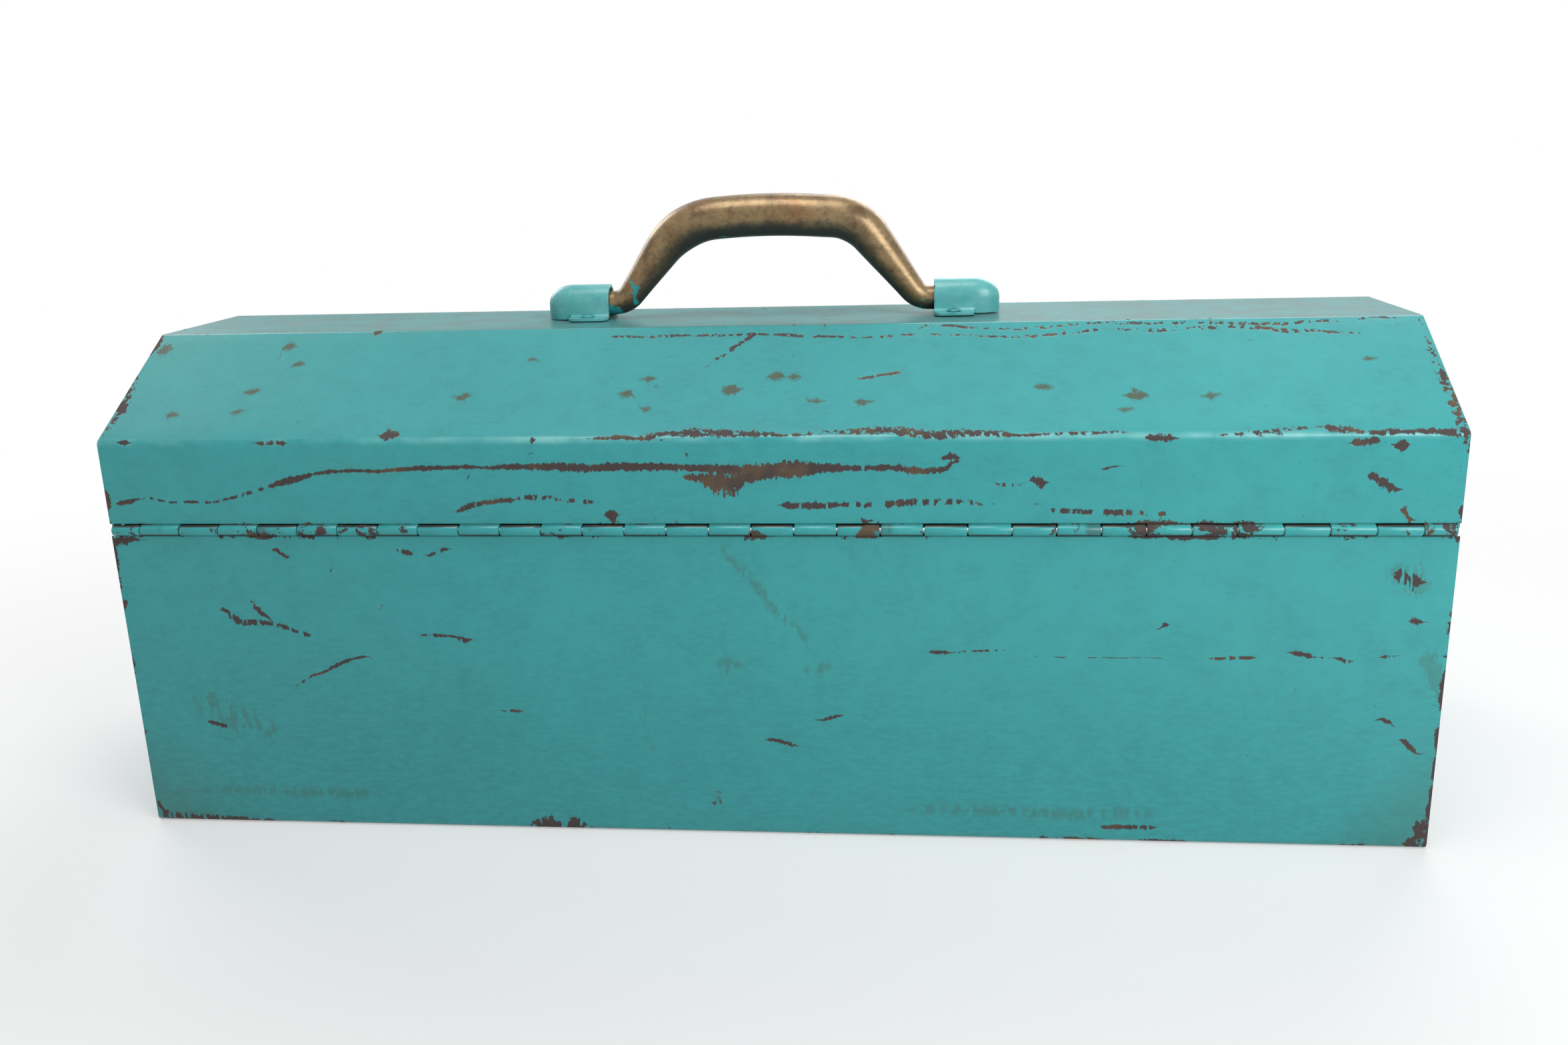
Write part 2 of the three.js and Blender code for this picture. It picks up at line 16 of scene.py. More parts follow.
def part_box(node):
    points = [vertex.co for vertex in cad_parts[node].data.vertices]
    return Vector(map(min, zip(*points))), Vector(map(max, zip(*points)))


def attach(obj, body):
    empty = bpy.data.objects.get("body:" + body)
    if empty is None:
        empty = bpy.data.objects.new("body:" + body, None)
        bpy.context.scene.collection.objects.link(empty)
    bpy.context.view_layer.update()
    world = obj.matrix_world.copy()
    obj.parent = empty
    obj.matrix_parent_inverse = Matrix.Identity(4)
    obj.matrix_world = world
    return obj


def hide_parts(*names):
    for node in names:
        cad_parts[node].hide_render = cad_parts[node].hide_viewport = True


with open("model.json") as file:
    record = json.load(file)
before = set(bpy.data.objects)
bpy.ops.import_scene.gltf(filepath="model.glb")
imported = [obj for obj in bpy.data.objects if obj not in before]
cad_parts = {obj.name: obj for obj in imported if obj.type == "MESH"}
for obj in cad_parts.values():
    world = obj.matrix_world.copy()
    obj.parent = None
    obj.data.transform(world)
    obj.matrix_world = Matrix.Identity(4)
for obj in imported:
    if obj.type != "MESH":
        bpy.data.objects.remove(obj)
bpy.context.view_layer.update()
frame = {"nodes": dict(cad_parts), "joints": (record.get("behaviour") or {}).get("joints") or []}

print("pieces in the frame:", len(frame["nodes"]))

# %% [markdown]
# ## The sizes that everything hangs on
# Blender works in metres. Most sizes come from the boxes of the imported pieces. The ones that a box
# can't tell, such as the height of a fold, are named here once, next to where they are measured from.

# %% Read the sizes of the case
MM = 0.001
body_low, body_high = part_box("body_wrap")
lid_low, lid_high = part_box("lid_wrap")
leaf_low, leaf_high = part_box("hinge_leaf_body")
half_length = body_high.x
half_depth = lid_high.y
top_height = lid_high.z
roof_rise = 33.6 * MM
half_flat = 32.7 * MM
crease_height = top_height - roof_rise
seam_height = frame["joints"][0]["pos_m"][2]
hinge_y = frame["joints"][0]["pos_m"][1]
sheet = 1.0 * MM
fold = 2.5 * MM
barrel = 2.1 * MM
print(f"case {2 * half_length:.3f} x {2 * half_depth:.3f} m, seam at {seam_height:.4f} m")

# %% [markdown]
# ## The camera
# The box is seen from behind and a little above, close enough for the lid to widen towards the top
# of the picture. A matrix made of three turns says that more clearly than a target point would.

# %% Set up the camera
camera_place = Vector((0.0633, -0.5663, 0.2604))
camera_turns = {"Z": 6.10, "X": -15.46, "Y": 1.67}
aim = Matrix.Identity(4)
for axis, degrees in camera_turns.items():
    aim = aim @ Matrix.Rotation(math.radians(degrees), 4, axis)
camera = bpy.data.objects.new("camera", bpy.data.cameras.new("camera"))
camera.data.lens = 31.05
camera.data.sensor_width = 36
camera.data.clip_start = 0.01
camera.matrix_world = Matrix.Translation(camera_place) @ aim @ Matrix.Rotation(math.radians(90), 4, "X")
bpy.context.scene.collection.objects.link(camera)
bpy.context.scene.camera = camera
print("camera stands at", [round(c, 3) for c in camera_place])

# %% [markdown]
# ## A short hand for shaders
# Every finish here is a tree of nodes. A small class keeps one tree and adds nodes to it with one
# short call each. All patterns read Object coordinates in metres, so a grain has a true size.

# %% Make the shader short hand
class Finish:
    """One material's node tree, built up a node at a time."""

    def __init__(self, name):
        self.material = bpy.data.materials.new(name)
        self.material.use_nodes = True
        self.tree = self.material.node_tree
        self.shader = self.tree.nodes["Principled BSDF"]
        self.place = self.add("TexCoord").outputs["Object"]
        self.x, self.y, self.z = self.add("SeparateXYZ", Vector=self.place).outputs

    def add(self, kind, settings=None, **inputs):
        made = self.tree.nodes.new("ShaderNode" + kind)
        for key, value in (settings or {}).items():
            setattr(made, key, value)
        for key, value in inputs.items():
            self.feed(made.inputs[int(key[1:]) if key[0] == "_" else key.replace("_", " ")], value)
        return made

    def feed(self, socket, value):
        if isinstance(value, bpy.types.NodeSocket):
            self.tree.links.new(value, socket)
        elif value is not None:
            socket.default_value = value

    def maths(self, operation, first, second=None):
        return self.add("Math", {"operation": operation}, _0=first, _1=second).outputs[0]

    def plus(self, first, second):
        return self.maths("ADD", first, second)

    def minus(self, first, second):
        return self.maths("SUBTRACT", first, second)

    def times(self, first, second):
        return self.maths("MULTIPLY", first, second)

    def larger(self, first, second):
        return self.maths("MAXIMUM", first, second)

    def noise(self, scale, detail=3.0, roughness=0.5, distortion=0.0, place=None):
        made = self.add("TexNoise", Vector=place or self.place, Scale=scale, Detail=detail,
                        Roughness=roughness, Distortion=distortion)
        return made.outputs["Fac"]

    def step(self, value, low, high):
        """0 below low, 1 above high, and a smooth rise between."""
        smooth = {"interpolation_type": "SMOOTHSTEP"}
        return self.add("MapRange", smooth, Value=value, From_Min=low, From_Max=high).outputs[0]

    def patches(self, low, high, *noise_terms):
        """Patches of noise whose borders run from low to high."""
        return self.step(self.noise(*noise_terms), low, high)

    def span(self, value, low, high):
        """A 0 to 1 value carried to low to high."""
        return self.add("MapRange", Value=value, To_Min=low, To_Max=high).outputs[0]

    def mix(self, amount, one, other):
        made = self.add("Mix", {"data_type": "RGBA"}, Factor=amount)
        self.feed(made.inputs[6], opaque(one))
        self.feed(made.inputs[7], opaque(other))
        return made.outputs[2]

    def tint(self, tone, mask, share, colour):
        """The tone goes towards the colour, by that share, where the mask is 1."""
        return self.mix(self.times(mask, share), tone, colour)

    def stretched(self, x, y, z):
        return self.add("Mapping", Vector=self.place, Scale=(x, y, z)).outputs[0]

    def bump(self, height, distance, normal=None):
        made = self.add("Bump", Height=height, Distance=distance, Strength=1.0)
        self.feed(made.inputs["Normal"], normal)
        return made.outputs[0]

    def close(self, **sockets):
        for key, value in sockets.items():
            self.feed(self.shader.inputs[key.replace("_", " ")], value)
        return self.material


def opaque(value):
    """A plain (r, g, b) gets its fourth number; a socket stays as it is."""
    return value if isinstance(value, bpy.types.NodeSocket) else (*value, 1)


print("shader short hand ready")

# %% [markdown]
# ## Floor and light
# A pale floor keeps the contact shadow near the box and turns white further off. Four large soft lamps
# stand high around the box, and the one on the hinge side is nearest to its right end, so the light
# falls off along the back. The world is white only where it is seen directly or in a reflection; it
# lights the box much more gently.

# %% Lay the floor
FLOOR_HALF = 6
FLOOR_WHITE = (0.86, 0.86, 0.86)
SHADOW_REACH, ALL_WHITE_FROM, LEAST_WHITE = 0.30, 0.75, 0.35


def link_object(obj):
    bpy.context.scene.collection.objects.link(obj)
    return obj


def only_seen(tree):
    """1 for rays that come from the camera, a glossy surface or glass, and 0 for light."""
    path = tree.nodes.new("ShaderNodeLightPath")
    result = path.outputs["Is Camera Ray"]
    for kind in ("Is Glossy Ray", "Is Transmission Ray"):
        either = tree.nodes.new("ShaderNodeMath")
        either.operation = "MAXIMUM"
        tree.links.new(result, either.inputs[0])
        tree.links.new(path.outputs[kind], either.inputs[1])
        result = either.outputs[0]
    return result


floor_mesh = bmesh.new()
bmesh.ops.create_grid(floor_mesh, x_segments=1, y_segments=1, size=FLOOR_HALF)
floor_data = bpy.data.meshes.new("floor")
floor_mesh.to_mesh(floor_data)
floor_mesh.free()
floor = link_object(bpy.data.objects.new("floor", floor_data))
matt = Finish("pale_floor")
from_middle = matt.add("VectorMath", {"operation": "LENGTH"}, _0=matt.place).outputs["Value"]
far_off = matt.add("MapRange", Value=from_middle, From_Min=SHADOW_REACH, From_Max=ALL_WHITE_FROM,
                   To_Min=LEAST_WHITE).outputs[0]
mixed = matt.add("MixShader", _0=matt.times(far_off, only_seen(matt.tree)), _1=matt.shader.outputs[0],
                 _2=matt.add("Emission").outputs[0])
matt.tree.links.new(mixed.outputs[0], matt.tree.nodes["Material Output"].inputs["Surface"])
floor.data.materials.append(matt.close(Base_Color=opaque(FLOOR_WHITE), Roughness=0.8))
print("floor laid")

# %% Hang the lamps
def soft_lamp(name, place, target, size, watts):
    data = bpy.data.lights.new(name, "AREA")
    data.size = size
    data.energy = watts
    lamp = link_object(bpy.data.objects.new(name, data))
    lamp.location = place
    lamp.rotation_euler = (Vector(target) - Vector(place)).to_track_quat("-Z", "Y").to_euler()
    return lamp


soft_lamp("front_lamp", (0.60, -0.64, 0.55), (0.1, 0, 0.1), 0.5, 5.0)
soft_lamp("top_lamp", (-0.08, -0.3, 1.3), (0, 0, 0.1), 0.6, 5.8)
soft_lamp("back_lamp", (0.5, 1.3, 1.1), (0, 0, 0.12), 1.2, 15)
soft_lamp("side_lamp", (-1.1, 0.9, 0.9), (0, 0, 0.1), 0.8, 8)
WORLD_LIGHT = 0.16
world = bpy.data.worlds.new("studio")
bpy.context.scene.world = world
world.use_nodes = True
sky = world.node_tree
level = sky.nodes.new("ShaderNodeMapRange")
level.inputs["To Min"].default_value = WORLD_LIGHT
level.inputs["To Max"].default_value = 1.0
sky.links.new(only_seen(sky), level.inputs["Value"])
sky.nodes["Background"].inputs["Color"].default_value = (1, 1, 1, 1)
sky.links.new(level.outputs[0], sky.nodes["Background"].inputs["Strength"])
bpy.context.scene.view_settings.view_transform = "Standard"

# %% [markdown]
# ## The turquoise repaint
# The box was brushed over, hinge and clips included, in one glossy turquoise. The old dark brown
# enamel shows wherever the new coat has chipped off: along folds and rims, in long ragged scratches
# and in scattered spots. So the finish is one function: it takes a mask that says where edges are
# and a mask that says where scratches run. Apart from a painted shade that deepens the coat towards
# the bottom, everything else about the coat is the same all over.

# %% Mix the repaint
DARK_ENAMEL = (0.050, 0.034, 0.033)
RUSTY = (0.095, 0.060, 0.034)
TURQUOISE = (0.026, 0.330, 0.345)
PALE_TURQUOISE = (0.036, 0.375, 0.375)
DEEP_TURQUOISE = (0.020, 0.235, 0.255)
RUBBED_AND_HIGHLIT_TURQUOISE = (0.20, 0.56, 0.56)
DUST = (0.120, 0.190, 0.180)
SMUDGE = (0.045, 0.130, 0.095)
RUST_STAIN = (0.060, 0.075, 0.036)
SMEAR = (0.050, 0.155, 0.150)
SHADE_AND_GRIME = (0.030, 0.030, 0.026)


def chipped(finish, edges, scratches=None, spots=0.715):
    """1 where the coat is gone: in spots, along the edges mask and inside the scratches mask."""
    blotch = finish.noise(95, 6, 0.66, 0.5)
    ragged = finish.noise(1100, 3, 0.6)
    patchy = finish.patches(0.36, 0.66, 11, 3, 0.6)
    near_edge = finish.times(edges, finish.span(patchy, 0.07, 0.27))
    level = finish.plus(blotch, near_edge)
    level = finish.plus(level, finish.times(ragged, 0.10))
    gone = finish.step(level, spots + 0.045, spots + 0.070)
    return finish.larger(gone, scratches) if scratches is not None else gone


def repaint(name, edges_of, scratches_of=None, spots=0.715, shade_and_grime_of=None, rubbed_and_highlit_of=None,
            smudges_of=None, smudge=SMUDGE, dust=1.0, shine=0.5):
    """Each ..._of takes the finish and gives a mask. A lower spots makes more chips."""
    coat = Finish(name)
    scratches = scratches_of(coat) if scratches_of else None
    gone = chipped(coat, edges_of(coat), scratches, spots)
    tone = coat.mix(coat.patches(0.3, 0.7, 5, 3, 0.55), TURQUOISE, PALE_TURQUOISE)
    # Painted shade: the coat turns deeper towards the bottom of the box, where less light falls.
    painted_low_shade = coat.minus(1.0, coat.step(coat.z, 0.0, 0.12))
    tone = coat.tint(tone, painted_low_shade, 0.60, DEEP_TURQUOISE)
    mottle = coat.patches(0.35, 0.72, 75, 5, 0.75)
    tone = coat.tint(tone, mottle, 0.42, DEEP_TURQUOISE)
    fine = coat.patches(0.38, 0.66, 650, 4, 0.7, 0, coat.stretched(0.35, 1, 1))
    tone = coat.tint(tone, fine, 0.45, PALE_TURQUOISE)
    smear = coat.patches(0.58, 0.80, 9, 5, 0.7, 0.8, coat.stretched(0.6, 1, 1.4))
    tone = coat.tint(tone, smear, 0.30, SMEAR)
    facing_up = coat.add("SeparateXYZ", Vector=coat.add("TexCoord").outputs["Normal"]).outputs[2]
    dusty = coat.times(coat.step(facing_up, 0.90, 0.99), coat.span(mottle, 0.45 * dust, 0.85 * dust))
    tone = coat.mix(dusty, tone, DUST)
    specks = coat.patches(0.70, 0.76, 260, 3, 0.7)
    tone = coat.tint(tone, specks, 0.55, DARK_ENAMEL)
    if smudges_of:
        tone = coat.mix(smudges_of(coat), tone, smudge)
    # Paler where that mask says: partly paint rubbed thin, partly painted highlight.
    if rubbed_and_highlit_of:
        tone = coat.mix(rubbed_and_highlit_of(coat), tone, RUBBED_AND_HIGHLIT_TURQUOISE)
    # Darker where that mask says: painted shade along gaps, and grime.
    if shade_and_grime_of:
        tone = coat.mix(shade_and_grime_of(coat), tone, SHADE_AND_GRIME)
    under = coat.mix(coat.patches(0.50, 0.66, 45, 3, 0.6), DARK_ENAMEL, RUSTY)
    gloss = coat.span(coat.noise(18, 4, 0.6), 0.20, 0.36)
    rough = coat.add("Mix", {"data_type": "FLOAT"}, _0=gone, _2=gloss, _3=0.75).outputs[0]
    wavy = coat.bump(coat.noise(9, 2, 0.5), 0.0008)
    peel = coat.bump(coat.noise(420, 2, 0.5), 0.00004, wavy)
    brushed = coat.bump(coat.noise(160, 3, 0.6, 0, coat.stretched(0.08, 1, 1)), 0.00003, peel)
    step_down = coat.bump(coat.minus(1.0, gone), 0.00018, brushed)
    pitted = coat.bump(coat.times(coat.noise(1500, 3, 0.7), gone), 0.0001, step_down)
    return coat.close(Base_Color=coat.mix(gone, tone, under), Roughness=rough, Normal=pitted,
                      Metallic=0.0, IOR=1.5, Specular_IOR_Level=shine)


print("repaint can be mixed")

# %% [markdown]
# ## Where the edges are
# On the big folded sheets an edge is a straight line along the box, so the distance to it is plain
# arithmetic on two coordinates. On small parts the shape is busier, and the mesh's own pointedness
# finds their rounded corners.

# %% Find the edges
def distance_to_line(finish, y, z):
    """How far a point is from a line along X."""
    dy = finish.minus(finish.y, y)
    dz = finish.minus(finish.z, z)
    return finish.maths("SQRT", finish.plus(finish.times(dy, dy),
                                             finish.times(dz, dz)))


def fading(finish, distance, reach):
    return finish.minus(1.0, finish.step(distance, 0.0, reach))


END_WEAR = 1.35


def edges_along(lines, reach=3.4 * MM):
    """A mask of the given (y, z, share of wear) lines and of both ends of the box."""
    def mask(finish):
        to_end = finish.minus(half_length, finish.maths("ABSOLUTE", finish.x))
        worn = finish.times(fading(finish, to_end, reach), END_WEAR)
        for y, z, share in lines:
            near = finish.times(fading(finish, distance_to_line(finish, y, z), reach), share)
            worn = finish.larger(worn, near)
        return worn
    return mask


def rubbed_and_highlit_crease(finish):
    """The fold along the back crease is paler, here more and there less: partly paint rubbed thin, partly
    a painted highlight along the fold.
    """
    near = fading(finish, distance_to_line(finish, -half_depth, crease_height), 2.6 * MM)
    return finish.times(near, finish.patches(0.36, 0.62, 17, 4, 0.7))


def pointed_edges(finish):
    return finish.step(finish.add("NewGeometry").outputs["Pointiness"], 0.51, 0.60)


print("edge masks ready")

# %% [markdown]
# ## Scratches
# The marks on the back run mostly lengthwise, so one row of them can be told by three numbers at each
# place along the box: how high the mark lies, how wide it is there, and how broken up it is. A curves
# node holds those three numbers. Noise pushes the place about and frays the sides of the mark.

# %% Draw rows of scratches
# A curves node holds only 0 to 1, so heights and half widths are shares of these, in millimetres.
TALLEST = 200
WIDEST = 20


def curve_through(curve, stations):
    """The stations are (share of the length, value), in order along the box."""
    ends = [(0.0, stations[0][1]), *stations, (1.0, stations[-1][1])]
    curve.points[0].location, curve.points[1].location = ends[0], ends[-1]
    for share, value in ends[1:-1]:
        curve.points.new(share, value)
    for point in curve.points:
        point.handle_type = "VECTOR"


def scratch_row(finish, strokes, x, z, fray, grain, soft):
    """Each stroke is a list of (x, z, half width, breaks) in millimetres; breaks go from 0 to 1."""
    stations = []
    for stroke in sorted(strokes):
        (x0, z0, _, b0), (x1, z1, _, b1) = stroke[0], stroke[-1]
        stations += [(x0 - 1.5, z0, 0, b0), *stroke, (x1 + 1.5, z1, 0, b1)]
    shares = [(x / (2 * half_length / MM) + 0.5, z, width, breaks) for x, z, width, breaks in stations]
    curves = finish.add("RGBCurve", Color=x)
    curve_through(curves.mapping.curves[0], [(share, z / TALLEST) for share, z, _, _ in shares])
    curve_through(curves.mapping.curves[1], [(share, width / WIDEST) for share, _, width, _ in shares])
    curve_through(curves.mapping.curves[2], [(share, breaks) for share, _, _, breaks in shares])
    curves.mapping.update()
    height, width, breaks = finish.add("SeparateXYZ", Vector=curves.outputs[0]).outputs
    off = finish.maths("ABSOLUTE", finish.minus(z, height))
    frayed = finish.times(finish.times(width, fray), WIDEST / TALLEST)
    depth = finish.minus(frayed, off)
    inside = finish.step(depth, -soft * MM / (TALLEST * MM), soft * MM / (TALLEST * MM))
    drawn = finish.times(inside, finish.maths("GREATER_THAN", width, 0.0004))
    return finish.times(drawn, finish.step(finish.minus(grain, breaks), -0.02, 0.03))


def scratches_on(finish, rows, soft=0.22):
    wander = finish.times(finish.minus(finish.noise(22, 2, 0.5), 0.5), 6 * MM)
    slide = finish.times(finish.minus(finish.noise(310, 2, 0.5), 0.5), 5 * MM)
    x = finish.plus(finish.maths("DIVIDE", finish.plus(finish.x, slide), 2 * half_length), 0.5)
    z = finish.maths("DIVIDE", finish.plus(finish.z, wander), TALLEST * MM)
    teeth = finish.noise(850, 3, 0.7, 0, finish.stretched(1, 1, 0.4))
    swelling = finish.noise(130, 4, 0.7)
    fray = finish.plus(finish.times(finish.minus(teeth, 0.5), 3.0),
                        finish.times(swelling, 2.0))
    grain = finish.noise(480, 1, 0.5, 0, finish.stretched(1, 1, 0.3))
    mask = None
    for row in rows:
        marks = scratch_row(finish, row, x, z, fray, grain, soft)
        mask = finish.larger(mask, marks) if mask is not None else marks
    return finish.times(mask, finish.maths("LESS_THAN", finish.y, 0.0))


print("rows of scratches ready")

# %% [markdown]
# ## The other finishes
# Inside, and on the tray, the dark enamel was never painted over. The handle keeps its bronze paint,
# rubbed bright on top of the grip. The latches are thinly plated steel with turquoise left in the
# corners, where the brush reached and hands did not.

# %% Mix the old enamel, the bronze and the plated steel
def old_enamel():
    coat = Finish("old_enamel")
    gone = coat.step(coat.plus(coat.noise(120, 5, 0.65, 0.5),
                                coat.times(pointed_edges(coat), 0.2)), 0.70, 0.73)
    cloudy = coat.patches(0.35, 0.7, 14, 4, 0.6)
    tone = coat.mix(cloudy, (0.062, 0.047, 0.041), (0.095, 0.072, 0.06))
    dust = coat.patches(0.45, 0.8, 30, 5, 0.7, 0.8)
    tone = coat.tint(tone, dust, 0.35, (0.21, 0.18, 0.15))
    tone = coat.mix(gone, tone, (0.22, 0.20, 0.18))
    crinkle = coat.bump(coat.noise(700, 3, 0.6), 0.00006)
    rough = coat.span(coat.noise(25, 4, 0.6), 0.38, 0.62)
    return coat.close(Base_Color=tone, Roughness=rough, Metallic=coat.times(gone, 0.7),
                      Normal=coat.bump(coat.minus(1.0, gone), 0.0001, crinkle))


def handle_bronze():
    """Bronze paint, bright where the palm rests, darkened underneath as painted shade, turquoise by the
    clips.
    """
    coat = Finish("handle_bronze")
    facing_up = coat.add("SeparateXYZ", Vector=coat.add("TexCoord").outputs["Normal"]).outputs[2]
    patch = coat.patches(0.36, 0.64, 75, 5, 0.7, 0.4)
    tone = coat.mix(patch, (0.125, 0.078, 0.036), (0.270, 0.185, 0.090))
    rusty = coat.patches(0.50, 0.66, 38, 3, 0.6, 0.3)
    tone = coat.tint(tone, rusty, 0.50, (0.20, 0.085, 0.030))
    streak = coat.patches(0.52, 0.72, 110, 4, 0.65, 0, coat.stretched(0.2, 1, 1))
    tone = coat.tint(tone, streak, 0.45, (0.36, 0.265, 0.145))
    speck = coat.patches(0.50, 0.70, 520, 4, 0.75)
    tone = coat.tint(tone, speck, 0.50, (0.045, 0.036, 0.026))
    # Painted shade: the downward-facing side of the bar is darkened nearly to black.
    ragged = coat.times(coat.minus(coat.noise(130, 4, 0.7), 0.5), 0.9)
    under = coat.step(coat.minus(ragged, facing_up), 0.05, 0.62)
    tone = coat.tint(tone, under, 0.92, (0.022, 0.021, 0.020))
    outwards = coat.maths("ABSOLUTE", coat.x)
    by_clip = coat.times(coat.step(outwards, 50 * MM, 60 * MM), 0.10)
    level = coat.plus(coat.noise(150, 5, 0.65, 0.5), by_clip)
    painted = coat.step(coat.minus(level, coat.times(facing_up, 0.09)), 0.73, 0.75)
    tone = coat.mix(painted, tone, TURQUOISE)
    shiny = coat.span(coat.noise(60, 4, 0.6), 0.20, 0.42)
    rough = coat.add("Mix", {"data_type": "FLOAT"}, _0=under, _2=shiny, _3=0.55).outputs[0]
    bare = coat.minus(1.0, coat.larger(painted, under))
    skin = coat.bump(coat.noise(600, 4, 0.65), 0.00007, coat.bump(coat.noise(50, 3, 0.6), 0.0003))
    return coat.close(Base_Color=tone, Roughness=rough, Metallic=coat.times(bare, 0.55), Normal=skin)


def plated_steel(name, painted_share=0.0):
    coat = Finish(name)
    stain = coat.patches(0.42, 0.72, 110, 5, 0.65, 0.3)
    tone = coat.mix(stain, (0.50, 0.49, 0.46), (0.24, 0.22, 0.19))
    rust = coat.patches(0.60, 0.70, 210, 5, 0.7)
    tone = coat.tint(tone, rust, 0.8, (0.16, 0.075, 0.03))
    metal = coat.minus(1.0, coat.times(rust, 0.7))
    if painted_share:
        level = coat.minus(coat.noise(130, 5, 0.6, 0.4), coat.times(pointed_edges(coat), 0.4))
        painted = coat.step(level, 0.66 - painted_share, 0.68 - painted_share)
        tone = coat.mix(painted, tone, TURQUOISE)
        metal = coat.times(metal, coat.minus(1.0, painted))
    rough = coat.span(coat.noise(160, 4, 0.6), 0.24, 0.48)
    drawn = coat.bump(coat.noise(900, 3, 0.6, 0, coat.stretched(1, 1, 0.12)), 0.00003)
    return coat.close(Base_Color=tone, Roughness=rough, Metallic=metal, Normal=drawn)


enamel = old_enamel()
steel = plated_steel("plated_steel")
painted_steel = plated_steel("painted_steel", 0.30)
small_paint = repaint("repaint_small_parts", pointed_edges, spots=0.735)
print("finishes:", [m.name for m in bpy.data.materials])

# %% [markdown]
# ## Mending a mesh and putting it on the box
# Every new piece goes the same way: its bmesh becomes an object, its flat faces are shaded smooth up
# to the sharp corners, it gets its finishes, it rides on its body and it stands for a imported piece.

# %% Make the finishing steps
def piece(mesh, name, body, stands_for, finishes, sharp=35):
    data = bpy.data.meshes.new(name)
    mesh.to_mesh(data)
    mesh.free()
    for material in finishes:
        data.materials.append(material)
    data.polygons.foreach_set("use_smooth", [True] * len(data.polygons))
    data.set_sharp_from_angle(angle=math.radians(sharp))
    obj = link_object(bpy.data.objects.new(name, data))
    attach(obj, body)
    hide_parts(*stands_for)
    return obj


def rounded(obj, width, segments=2, angle=35):
    """A small bevel on every corner sharper than the angle."""
    bevel = obj.modifiers.new("rounded", "BEVEL")
    bevel.width = width
    bevel.segments = segments
    bevel.limit_method = "ANGLE"
    bevel.angle_limit = math.radians(angle)
    bevel.harden_normals = True
    return obj


def along_x(edge):
    a, b = (v.co for v in edge.verts)
    return abs((b - a).normalized().x) > 0.99


def draw_out(mesh, edges):
    """Extrude the edges, and give the new vertices and the new rim."""
    drawn = bmesh.ops.extrude_edge_only(mesh, edges=edges)["geom"]
    ring = [g for g in drawn if isinstance(g, bmesh.types.BMVert)]
    known = set(ring)
    return ring, [g for g in drawn if isinstance(g, bmesh.types.BMEdge) and known.issuperset(g.verts)]


def round_off(mesh, geom, offset, segments, affect="EDGES"):
    bmesh.ops.bevel(mesh, geom=geom, offset=offset, offset_type="OFFSET", segments=segments,
                    profile=0.5, affect=affect, material=-1)


print("finishing steps ready")

# %% [markdown]
# ## Folded sheets
# The body and the lid are each one strip of sheet bent along straight lines. So a few points become
# a line, the line is drawn out into a strip, and each fold is a bevel whose width follows from the
# fold's radius and angle. The flat panels are then cut into small faces, because real sheet is never
# quite flat: shallow hollows bend the reflections the way they do on the real box.

# %% Fold a sheet
def folded_sheet(corners, radii, cut_length=9 * MM):
    mesh = bmesh.new()
    line = [mesh.verts.new((-half_length, y, z)) for y, z in corners]
    far, _ = draw_out(mesh, [mesh.edges.new(pair) for pair in zip(line, line[1:])])
    bmesh.ops.translate(mesh, verts=far, vec=(2 * half_length, 0, 0))
    for (before, corner, after), radius in zip(zip(corners, corners[1:], corners[2:]), radii):
        turn = (Vector(corner) - Vector(before)).angle(Vector(after) - Vector(corner))
        edges = [e for e in mesh.edges if along_x(e)
                 and (Vector(e.verts[0].co.yz) - Vector(corner)).length < 1e-6]
        round_off(mesh, edges, radius * math.tan(turn / 2), 6)
    lengthwise = [e for e in mesh.edges if along_x(e)]
    bmesh.ops.subdivide_edges(mesh, edges=lengthwise, cuts=round(2 * half_length / cut_length),
                              use_grid_fill=True)
    for cuts in (15, 7, 3):
        broad = [e for e in mesh.edges
                 if not along_x(e) and e.calc_length() > (cuts + 0.5) * 0.7 * cut_length]
        if broad:
            bmesh.ops.subdivide_edges(mesh, edges=broad, cuts=cuts, use_grid_fill=True)
    return mesh


def turn_outwards(mesh):
    """An open sheet has no inside of its own, so its faces are turned away from the box's middle."""
    bmesh.ops.recalc_face_normals(mesh, faces=mesh.faces)
    middle = Vector((0, 0, seam_height * 0.9))
    outward = sum((f.normal.dot(f.calc_center_median() - middle) * f.calc_area() for f in mesh.faces))
    if outward < 0:
        bmesh.ops.reverse_faces(mesh, faces=mesh.faces)
    mesh.normal_update()


def wave(mesh, depth, grain, keep_off):
    """Gentle hollows that die away towards folds and rims; keep_off tells how far those are."""
    moves = {}
    for vert in mesh.verts:
        calm = min(1.0, keep_off(vert.co) / (18 * MM))
        hollow = (1 - noise.noise(vert.co * grain)) / 2
        moves[vert] = vert.normal * (-hollow * depth * calm)
    for vert, move in moves.items():
        vert.co += move


def thicken(obj):
    wall = obj.modifiers.new("thickness", "SOLIDIFY")
    wall.thickness = sheet
    wall.offset = -1
    wall.use_even_offset = True
    wall.material_offset = 1
    return rounded(obj, 0.25 * MM, 2, 50)


print("sheets can be folded")

# %% [markdown]
# ## The case wrap
# The body is a trough: one strip folded up at the front and at the back. Its front rim steps inwards
# to slip under the lid, and that step stops a little before each corner. The back of the body is
# scratched in long diagonal sweeps, so the paint there gets its own list of strokes.

# %% Fold the case wrap
joggle = 1.6 * MM
rim_shoulder = seam_height - joggle - 0.2 * MM
rim_gap = 0.3 * MM
lip_setback = 6 * MM
back_rim = seam_height - barrel - rim_gap

